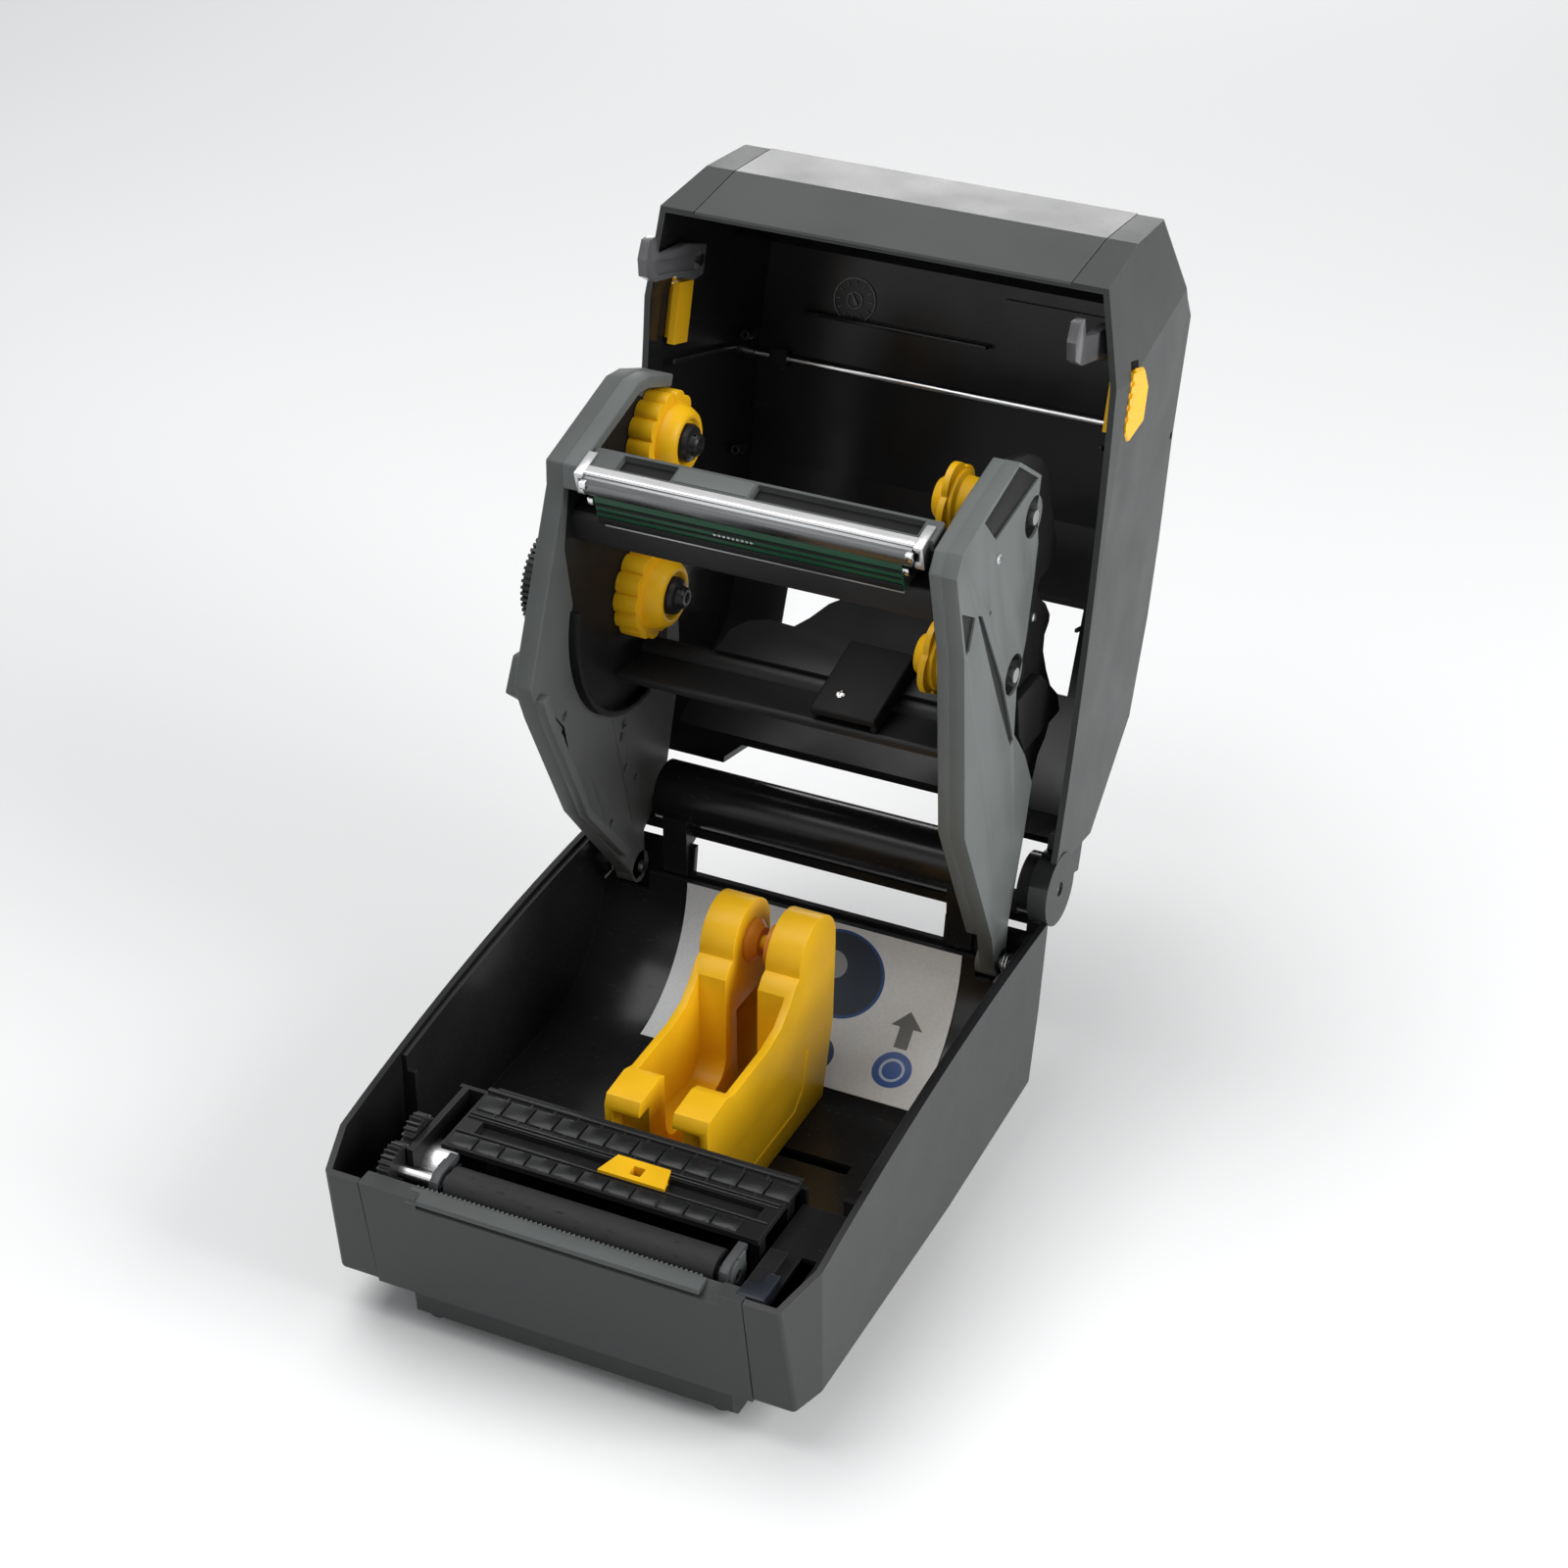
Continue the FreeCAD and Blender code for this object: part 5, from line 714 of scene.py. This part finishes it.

# Left frame. A deep grey housing whose front edge turns inwards; that edge faces up and is
# painted in the paler cover grey as the light falling on it. A rounded black pocket behind its
# wheels, a knurled tension wheel at its outer edge and small slots in its lower plate.
left_outline = [
    (16, 83), (6, 86), (5, 137), (9, 147), (21, 163), (34, 167.5), (50, 170), (92, 162), (104, 156)
]
left_outline += [(118, 150), (160, 140), (203, 112), (210, 90.5), (226, 86), (230, 83), (228, 77), (222, 75)]
left_outline += [(160, 48), (96, 36), (78, 34)]
slots = [[(y, z), (y + 3, z - 1), (y + 3, z + 2.4), (y, z + 3.4)] for y, z in
         ((107, 51), (113, 46), (147, 90), (151, 87), (168, 85), (179, 91), (176, 59), (183, 67))]
housing = plate("left_housing", -86, -78, left_outline, slots)
soften(housing, 0.9, 3)
front_edge = [
    (16, 83), (6, 86), (5, 137), (9, 147), (21, 163), (25, 160), (14, 145), (10, 136), (10.6, 89),
    (18, 86.4)
]
# The front edge is the housing's own grey plastic; its paler cover grey is painted light on its upward face.
painted_light_edge_bar = plate("left_front_edge_painted_light", -79, -71.4, front_edge)
soften(painted_light_edge_bar, 0.8, 3)
finish_carriage(painted_light_edge_bar, cover_grey, "frame_grey")
lower_edge = [(84, 35.2), (96, 36), (160, 48), (204, 68.5), (202, 72), (159, 52), (96, 40.6), (84, 40)]
lower_bar = plate("left_lower_edge", -79, -74, lower_edge)
soften(lower_bar, 0.6)
boss = turned("left_pivot_boss", (-86, 224, 82), [(0, 2.6), (0, 7), (8, 7), (8, 2.6), (0, 2.6)])
case_outline = [(36.4, 80), (47, 92), (62, 96), (77, 88), (80, 62), (73, 46), (84, 35.4), (98, 45), (104, 60)]
case_outline += [(104, 84), (92, 98), (60, 99), (38, 96)]
gear_case = plate("left_gear_case", -91.6, -85.5, case_outline)
soften(gear_case, 1, 3)
finish_carriage(join(housing, lower_bar, boss, gear_case), frame_grey, "frame_grey", "carriage_left_frame")
pocket_outline = [(14, 88), (40, 75), *arc(95, 113, 49, 235, 360, 24)]
pocket_outline += [(146, 130), (100, 152), (40, 163), (13, 140)]
pocket = plate("left_pocket", -78.3, -77.96, pocket_outline)
rim_outline = [*arc(95, 113, 50.5, 238, 355, 30), *arc(95, 113, 48, 355, 238, 30)]
rim = plate("left_pocket_rim", -78.3, -74, rim_outline)
soften(rim, 0.5)
finish_carriage(join(pocket, rim), recess_black, "inner_black")


def turn_about(place, degrees, axis):
    """A turn about an axis through a place in millimetres."""
    x, y, z = place
    middle = Matrix.Translation((x * MM, BASE_FRONT + y * MM, z * MM))
    return middle @ Matrix.Rotation(math.radians(degrees), 4, axis) @ middle.inverted()


WHEEL_CENTRE = (-91.2, 60, 78)
WHEEL_TEETH = 50
wheel = turned("left_tension_wheel", WHEEL_CENTRE, [(0, 0), (0, 19), (4.6, 19), (4.6, 0)], 64)
tooth = block("tooth", (-91.2, 59.4, 96.6), (-86.6, 60.6, 98.4))
turns = [turn_about(WHEEL_CENTRE, 360 * number / WHEEL_TEETH, "X") for number in range(WHEEL_TEETH)]
finish_carriage(join(wheel, *copies_of(tooth, turns)), gear_black, "inner_black")

# Print head. A dark rounded rail holds a green head board with two dark seams; a bright steel
# strip along the rail's top edge is partly polished metal and partly a painted highlight. Bright
# brackets and white plugs close its ends. A recessed bar runs behind the rail, and black plates
# at the back of its two pockets are painted shade.
dark_steel = metal("dark_steel", (0.2, 0.205, 0.21), 0.24, lines=(1, 70, 70))
rail_outline = [(6.2, 84), (6.6, 81.4), (8, 80), (12.4, 79.7), (14, 80.4), (14.4, 82), (14.4, 87), (6.2, 87)]
rail = plate("head_rail_bar", -67.5, 67.5, rail_outline)
soften(rail, 0.3)
finish_carriage(rail, dark_steel, "steel", "head_rail")
# The crest is bright steel on the dark rail's top edge: partly polished metal, partly a painted highlight.
crest = plate("head_rail_crest", -67.8, 67.8, [(5, 83), (6.4, 82.6), (6.6, 87.2), (5.3, 87.6)])
soften(crest, 0.4, 3)
finish_carriage(crest, bright_steel, "bright_steel")
for side in (-1, 1):
    x = side * 69.6
    bracket = block("bracket", (x - 2, 5.2, 81.6), (x + 2, 15.6, 95))
    cut(bracket, block("notch", (x - 1 - side, 8, 80), (x + 1 - side, 12, 86)))
    soften(bracket, 0.5)
    bracket.name = "head_bracket_left" if side < 0 else "head_bracket_right"
    finish_carriage(bracket, plain_steel, "steel")
    plug = join(block("plug", (side * 67 - 1.4, 7, 78.9), (side * 67 + 1.4, 10.4, 81)),
                block("plug", (side * 65 - 1.6, 15.2, 79.9), (side * 65 + 0.8, 18.4, 81.4)))
    soften(plug, 0.35)
    plug.name = "head_plug_left" if side < 0 else "head_plug_right"
    finish_carriage(plug, bright_steel, "bright_steel")
head_green = moulding("head_green", (0.012, 0.07, 0.034), 0.3, grain=900, depth=0.02, edge=0.6)
board = block("head_green_board", (-64, 14, 80.7), (63, 27, 82))
soften(board, 0.15)
finish_carriage(board, head_green, "board_green", "head_board")
seams = [
    block("seam", (-63.5, low, 80.2), (62.5, high, 81)) for low,
    high in ((17.4, 18.6), (21, 21.7), (24, 27.2))
]
seam = join(*seams)
seam.name = "head_board_seams"
soften(seam, 0.12)
finish_carriage(seam, recess_black, "inner_black")
PART_COUNT, PART_PITCH = 9, 1.9
part = block("part", (-14, 19.2, 80.1), (-12.9, 20.2, 80.9))
chips = join(*copies_of(part, [shift(PART_PITCH * number) for number in range(PART_COUNT)]))
chips.name = "head_board_parts"
finish_carriage(chips, plain_steel, "steel")
top_bar = block("head_top_bar", (-70, 6.4, 88.2), (73, 11.6, 99))
cut(
    top_bar, block("pocket", (-58, 5, 89.4), (-35, 9.6, 97.6)),
    block("pocket", (-2, 5, 89.4), (66, 9.6, 97.6))
)
soften(top_bar, 0.4)
finish_carriage(top_bar, frame_grey, "frame_grey")
pad = block("head_pad", (-34, 6, 89.6), (-3, 9, 97.4))
soften(pad, 0.4)
finish_carriage(pad, cover_grey, "frame_grey")
# Black plates at the back of the bar's two pockets are painted shade.
shadow = join(
    block("pad", (-57.6, 9.2, 89.6), (-35.4, 10, 97.4)), block("pad", (-1.6, 9.2, 89.6), (65.6, 10, 97.4))
)
shadow.name = "head_bar_pocket_painted_shade"
finish_carriage(shadow, recess_black, "inner_black")

# Cross members. A grey beam closes the carriage below the print head. Lower down, a round rod and
# a plate span it, with a sheet that rises behind the rod and a black cover block on the plate.
beam_outline = [(29, 86), (30.6, 84.6), (43, 84.6), (44.4, 86), (44.4, 101), (42, 103), (30, 103)]
beam = plate("head_beam", -78, 77.4, beam_outline)
cut(beam, block("dip", (-70, 26, 92), (-52, 33, 101)), block("dip", (40, 40, 90), (70, 47, 104)))
carrier = block("carrier", (-77, 11.4, 97), (76, 31, 100))
beam = join(beam, carrier)
soften(beam, 0.6, 3)
finish_carriage(beam, matt_black, "inner_black", "carriage_cross_frame")
rod = turned("cross_rod", (-77.4, 129, 117), [(0, 0), (0, 5.4), (154.6, 5.4), (154.6, 0)], 40)
shelf = plate("shelf", -76, 77, [(118.6, 91.4), (119.2, 90.2), (122.6, 90), (131.4, 113), (127.4, 115.6)])
rear_rib = plate("rib", -60, 62, [(124, 104), (136, 110), (134, 116), (126, 112)])
soften(shelf, 0.5)
soften(rear_rib, 0.6)
finish_carriage(join(rod, shelf, rear_rib), matt_black, "inner_black")
sheet_outline = [
    (-46, 118), (-45, 131), (-40, 138), (-32, 141), (-21, 140.4), (-17, 147), (-13, 157), (-6, 165)
]
sheet_outline += [(2, 168), (58, 168), (70, 160), (76, 146), (77, 118)]
sheet = plate("cross_sheet", 121.4, 123.6, sheet_outline, facing="y")
soften(sheet, 0.5)
finish_carriage(sheet, matt_black, "inner_black")
slab_corners = [
    ((9.6, 111.6, 90.6), (37.6, 115.2, 131)),
    ((9.6, 113, 126.4), (37.6, 123, 131)),
    ((34.6, 113, 91.4), (37.6, 119.4, 129)),
    ((9.6, 113, 91.4), (12, 118, 129)),
]
slab = join(*[block("slab", low, high) for low, high in slab_corners])
soften(slab, 1, 3)
slab.name = "cover_block"
finish_carriage(slab, recess_black, "inner_black")
finish_carriage(screw_head("cover_screw", (18.6, 111.6, 101), (0, -1, 0)), bright_steel, "bright_steel")

# Print deck. Two rows of glossy raised pads lie on each side of the sensor's groove, whose edges
# carry fine rails. They are moulded with the deck.
PAD_START, PAD_WIDTH, PAD_PITCH, PAD_COUNT = -58.4, 10.3, 11.1, 12
rear_outline = [(51.4, 80.6), (51.4, 81.5), (52.4, 82), (60, 82), (61, 81.2), (61, 80.6)]
rear_pad = plate("rear_pad", PAD_START, PAD_START + PAD_WIDTH, rear_outline)
front_outline = [(28.5, 80.6), (28.6, 81.3), (30, 81.9), (35.4, 81.9), (36, 80.6)]
front_pad = plate("front_pad", PAD_START + 0.6, PAD_START + 0.6 + PAD_WIDTH, front_outline)
steps = [shift(PAD_PITCH * number) for number in range(PAD_COUNT)]
rows = join(*copies_of(rear_pad, steps), *copies_of(front_pad, steps[:-1]))
rows.name = "deck_pads"
soften(rows, 0.3)
deck_gloss = moulding("deck_gloss", (0.014, 0.0145, 0.015), 0.24, grain=1600, depth=0.03, edge=1, scuffs=0.3)
finish(rows, "base", deck_gloss, "inner_black")
rails = [block("rail", (-59, low, 80.6), (72, low + 0.8, 81.8)) for low in (36.9, 46.4, 48.2)]
rails.append(block("rail", (-59.6, 62.6, 80.6), (72.6, 64, 82.2)))
rails = join(*rails)
rails.name = "deck_rails"
soften(rails, 0.25)
deck_edge = moulding("deck_edge", (0.026, 0.027, 0.028), 0.24, grain=1300, depth=0.02, edge=0.6)
finish(rails, "base", deck_edge, "inner_black")

# Bearing levers. A grey lever cut from sheet holds each end of the platen's shaft. It turns with
# its bearing, and both levers are the same shape.
lever_grey = moulding("lever_grey", (0.06, 0.063, 0.065), 0.4, grain=1200, depth=0.03, edge=0.8)
FORK_SPACING = 120.6
fork_outline = [(9.4, 72), (10.6, 77), (14, 79), (26.6, 79.3), (27.4, 78), (26.6, 76.6)]
fork_outline += [(23.4, 76), (22, 72), (17.5, 68)]
fork = plate("fork", -55, -51.6, fork_outline, [arc(17.5, 71.5, 3.4)])
soften(fork, 0.4)
for side, fork in zip(("left", "right"), copies_of(fork, [shift(), shift(FORK_SPACING)])):
    fork.name = f"bearing_fork_{side}"
    finish(fork, f"bearing_{side}", lever_grey, "frame_grey")

# Tear strip. A grey serrated strip with a sloped face runs along the front of the platen. A black
# cover over the lid's catch stands beside its right end. Both are fixed to the base.
strip = plate("tear_strip", -60, 62.4, [(0.2, 73), (0.4, 75.2), (5.6, 76.2), (7.4, 75.7), (7.4, 72)])
soften(strip, 0.3)
TOOTH_PITCH, TOOTH_COUNT = 2, 60
tooth = plate("tooth", 75.2, 75.9, [(-59.2, 7), (-57.2, 7), (-58.2, 8.4)], facing="z")
strip = join(strip, *copies_of(tooth, [shift(TOOTH_PITCH * number) for number in range(TOOTH_COUNT)]))
strip.name = "tear_strip"
finish(strip, "base", frame_grey, "steel", "tear_bar")
catch = block("catch_cover", (75.6, 3.6, 70), (86.6, 19, 76.4))
cut(catch, block("step", (74, 12, 74), (81, 22, 78)))
soften(catch, 0.8, 3)
catch_black = moulding("catch_black", (0.016, 0.019, 0.026), 0.3, grain=1100, depth=0.03, edge=1)
finish(catch, "base", catch_black, "inner_black")

# Loading card. A thin pale card is stuck to the tub's scooped rear, with plain round pictures, a
# ring and an arrow printed on it. It is a curved sheet whose print follows its own length.
bpy.ops.object.select_all(action="DESELECT")
bpy.ops.mesh.primitive_grid_add(x_subdivisions=24, y_subdivisions=48, size=1)
card = bpy.context.object
card.name = "loading_card_sheet"
CARD = {"left": -57, "right": 68, "radius": 54.6, "start": 9, "end": 84}
print_map = card.data.uv_layers[0]
for loop in card.data.loops:
    point = card.data.vertices[loop.vertex_index].co
    print_map.data[loop.index].uv = (point.x + 0.5, point.y + 0.5)
for point in card.data.vertices:
    angle = math.radians(CARD["start"] + (CARD["end"] - CARD["start"]) * (point.co.y + 0.5))
    x = CARD["left"] + (CARD["right"] - CARD["left"]) * (point.co.x + 0.5)
    y, z = 172 + CARD["radius"] * math.sin(angle), 84 - CARD["radius"] * math.cos(angle)
    point.co = (x * MM, BASE_FRONT + y * MM, z * MM)
add_modifier(card, "SOLIDIFY", thickness=0.3 * MM, offset=1)
paper = bpy.data.materials.new("card_paper")
paper.use_nodes = True
tree = paper.node_tree
shader = tree.nodes["Principled BSDF"]
place = tree.nodes.new("ShaderNodeUVMap").outputs["UV"]
print_scale = tree.nodes.new("ShaderNodeMapping")
print_scale.inputs["Scale"].default_value = (125, 71.5, 0)
print_scale.inputs["Location"].default_value = (-57, 8.6, 0)
tree.links.new(place, print_scale.inputs["Vector"])


def printed(centre, radius, ring=0):
    """A mask that is 1 inside a printed disc, or on its ring where a ring's width is given."""
    distance = tree.nodes.new("ShaderNodeVectorMath")
    distance.operation = "DISTANCE"
    tree.links.new(print_scale.outputs["Vector"], distance.inputs[0])
    distance.inputs[1].default_value = (*centre, 0)
    inside = sum_up(tree, "LESS_THAN", distance.outputs["Value"], radius)
    if not ring:
        return inside
    return sum_up(
        tree, "SUBTRACT", inside, sum_up(tree, "LESS_THAN", distance.outputs["Value"], radius - ring)
    )


across = tree.nodes.new("ShaderNodeSeparateXYZ")
tree.links.new(print_scale.outputs["Vector"], across.inputs["Vector"])
side = sum_up(tree, "ABSOLUTE", sum_up(tree, "SUBTRACT", across.outputs["X"], 50.5), 0)
height = across.outputs["Y"]
head = sum_up(tree, "MULTIPLY", sum_up(tree, "LESS_THAN", side, sum_up(tree, "SUBTRACT", 51, height)),
              sum_up(tree, "GREATER_THAN", height, 44))
above, below = sum_up(tree, "GREATER_THAN", height, 35), sum_up(tree, "LESS_THAN", height, 44.1)
stem_height = sum_up(tree, "MULTIPLY", above, below)
stem = sum_up(tree, "MULTIPLY", sum_up(tree, "LESS_THAN", side, 3), stem_height)
fibre = noise(tree, tree.nodes.new("ShaderNodeTexCoord").outputs["Object"], 900, 2)
colour = blend_colour(tree, spread(tree, fibre, 0, 1), (0.72, 0.74, 0.76), (0.8, 0.82, 0.84))
layers = [(printed((17.3, 59), 19), (0.03, 0.045, 0.07)), (printed((17.3, 59), 19, 1.4), (0.03, 0.09, 0.25)),
          (printed((13, 62), 6), (0.3, 0.32, 0.34)), (printed((15.4, 22.8), 9.5), (0.02, 0.05, 0.14)),
          (printed((50.7, 25), 8.4), (0.02, 0.09, 0.36)), (printed((50.7, 25), 5.4, 1.2), (0.5, 0.6, 0.75)),
          (head, (0.12, 0.13, 0.14)), (stem, (0.12, 0.13, 0.14))]
for mask, ink in layers:
    colour = blend_colour(tree, mask, colour, ink)
tree.links.new(colour, shader.inputs["Base Color"])
tree.links.new(spread(tree, fibre, 0.35, 0.5), shader.inputs["Roughness"])
finish(card, "base", paper, "card_paper", "loading_card")

# Lid fittings. Smoke-coloured hooks hang from their pins at both sides and a yellow latch lever
# lies against the outside of each wall. A raised date dial is moulded into the lid's inner face.
smoke = bpy.data.materials.new("smoke_clear")
smoke.use_nodes = True
smoke_shader = smoke.node_tree.nodes["Principled BSDF"]
smoke_shader.inputs["Transmission Weight"].default_value = 0.45
smoke_face = place_group(smoke.node_tree, surface, Grain_Scale=900)
smoke.node_tree.links.new(
    blend_colour(smoke.node_tree, smoke_face.outputs["Cloud"], (0.1, 0.1, 0.105), (0.2, 0.2, 0.21)),
    smoke_shader.inputs["Base Color"],
)
smoke.node_tree.links.new(
    spread(smoke.node_tree, smoke_face.outputs["Cloud"], 0.1, 0.24), smoke_shader.inputs["Roughness"]
)
hook_outline = [(19, 109.5), (31, 109.5), (33, 101), (30, 84), (30.5, 66), (28, 58), (21, 55.4), (13.4, 57)]
hook_outline += [(12.2, 62), (19, 65.4), (20, 76), (17.4, 92)]
for side in ("left", "right"):
    low, high = (-92, -88.2) if side == "left" else (88.2, 92)
    hook = plate(f"lock_hook_{side}_arm", low, high, hook_outline, [arc(25, 106, 1.6)])
    rib = [(21, 104), (29, 104), (28, 84), (28, 68), (24, 60), (22, 66), (22.6, 80)]
    hollow = (high - 1.4, high + 1) if side == "left" else (low - 1, low + 1.4)
    cut(hook, plate("hollow", *hollow, rib))
    soften(hook, 0.5, 3)
    finish_lid(hook, smoke, "smoke_clear", f"lock_hook_{side}", body=f"lock_hook_{side}")
    lever_outline = [(34.4, 104), (34.8, 114.6), (42.5, 122), (57.4, 122.4), (64, 107.4), (60, 102)]
    lever = plate(f"latch_lever_{side}", 99.4, 101.3, lever_outline)
    soften(lever, 0.9, 1)
    grip = plate("grip", 100.9, 101.38, [(43, 105.4), (44.4, 105.4), (44.4, 119), (43, 117.6)])
    grips = copies_of(grip, [shift(y=step) for step in (0, 4.5, 9)])
    lever = join(lever, *grips)
    if side == "left":
        lever.data.transform(Matrix.Scale(-1, 4, (1, 0, 0)))
        lever.data.flip_normals()
    finish_lid(lever, golden, "golden_yellow", body=f"latch_{side}")

dial_x, dial_y, dial_top = dial_centre = (-51, 42.5, 182.2)
DIAL_MARKS = 12
ring_place = (dial_x, dial_y, dial_top - 0.5)
ring_profile = [(0, 9.1), (0, 9.7), (0.7, 9.7), (0.7, 9.1), (0, 9.1)]
ring = turned("dial_ring", ring_place, ring_profile, 56, (0, 0, 1))
inner_profile = [(0, 3.2), (0, 3.7), (0.7, 3.7), (0.7, 3.2), (0, 3.2)]
inner_ring = turned("dial_inner", ring_place, inner_profile, 40, (0, 0, 1))
mark_low = (dial_x - 0.2, dial_y + 6.6, dial_top - 0.5)
mark = block("mark", mark_low, (dial_x + 0.2, dial_y + 8.4, dial_top + 0.2))
turns = [turn_about(dial_centre, 360 * number / DIAL_MARKS, "Z") for number in range(DIAL_MARKS)]
marks = copies_of(mark, turns)
pointer_outline = [(dial_x - 0.7, dial_y - 2), (dial_x + 0.7, dial_y - 2)]
pointer_outline += [(dial_x + 0.2, dial_y + 3.4), (dial_x - 0.2, dial_y + 3.4)]
pointer = plate("pointer", dial_top - 0.7, dial_top + 0.2, pointer_outline, facing="z")
pointer.data.transform(turn_about(dial_centre, 150, "Z"))
dial = join(ring, inner_ring, pointer, *marks)
dial.name = "date_dial"
dial_silver = moulding("dial_grey", (0.16, 0.165, 0.17), 0.22, grain=1300, depth=0.02, edge=0.4)
finish_lid(dial, dial_silver, "liner_black")

# Lid ribs. A low ledge crosses the lid in front of the rod, with thin ribs and screw posts along
# the side walls. They are moulded with the lid in the same glossy black.
ledge = block("ledge", (-72, 50, 176.5), (12, 51.6, 182.6))
post = turned("post", (0, 0, 0), [(0, 0), (0, 2.4), (8, 2.1), (8, 1.1), (3, 1), (3, 0)], 24, (0, 0, -1))
posts = copies_of(post, [shift(x, y, z) for x in (-89.8, 89.8) for y, z in ((62, 168), (112, 172))])
WALL_INNER, WALL_OUTER = 91.9, 93.2
front_rib = plate("rib", -WALL_OUTER, -WALL_INNER, [(66, 100), (68, 100), (68, 158), (66, 158)])
rear_rib = plate("rib", -WALL_OUTER, -WALL_INNER, [(140, 104), (141.6, 104), (141.6, 160), (140, 160)])
both_walls = [shift(), shift(WALL_INNER + WALL_OUTER)]
ribs = copies_of(front_rib, both_walls) + copies_of(rear_rib, both_walls)
lid_ribs = join(ledge, *posts, *ribs)
lid_ribs.name = "lid_ribs"
soften(lid_ribs, 0.25)
finish_lid(lid_ribs, glossy_black, "liner_black")

# Window. A clear pane is set into the lid's crown behind the rod. It is polished plastic with a
# faint unevenness in its shine.
clear = bpy.data.materials.new("clear_pane")
clear.use_nodes = True
clear_shader = clear.node_tree.nodes["Principled BSDF"]
clear_shader.inputs["Base Color"].default_value = (0.95, 0.96, 0.96, 1)
clear_shader.inputs["Transmission Weight"].default_value = 1
clear_shader.inputs["Alpha"].default_value = 0.12
clear_face = place_group(clear.node_tree, surface, Grain_Scale=400)
clear.node_tree.links.new(
    spread(clear.node_tree, clear_face.outputs["Cloud"], 0.02, 0.07), clear_shader.inputs["Roughness"]
)
dress(clear, "lid_window")

# Rubber, metal and small parts. The platen's roller and the feet are rubber, the screws, motor and
# ports are metal, the buttons are moulded, and all of them need only their finishes.
rubber = moulding("platen_rubber", (0.02, 0.02, 0.021), 0.62, grain=2400, depth=0.06, edge=1, scuffs=0.5)
dress(rubber, "platen_roller")
foot_rubber = moulding("foot_rubber", (0.03, 0.03, 0.031), 0.75, grain=1800, depth=0.1, edge=1.4)
dress(foot_rubber, "rubber_feet")
dress(plain_steel, "case_screws", "stepper_motor")
sink_grey = metal("sink_grey", (0.5, 0.51, 0.52), 0.34)
dress(sink_grey, "head_sink")
board_green = moulding("board_green", (0.02, 0.12, 0.055), 0.4, grain=900, depth=0.03, edge=0.6)
dress(board_green, "main_board")
port_metal = metal("port_metal", (0.7, 0.7, 0.69), 0.28)
dress(port_metal, "data_ports")
button_grey = moulding("button_grey", (0.4, 0.41, 0.42), 0.42, grain=1500, depth=0.03, edge=1)
dress(button_grey, "button_power", "button_pause", "button_feed", "button_cancel")
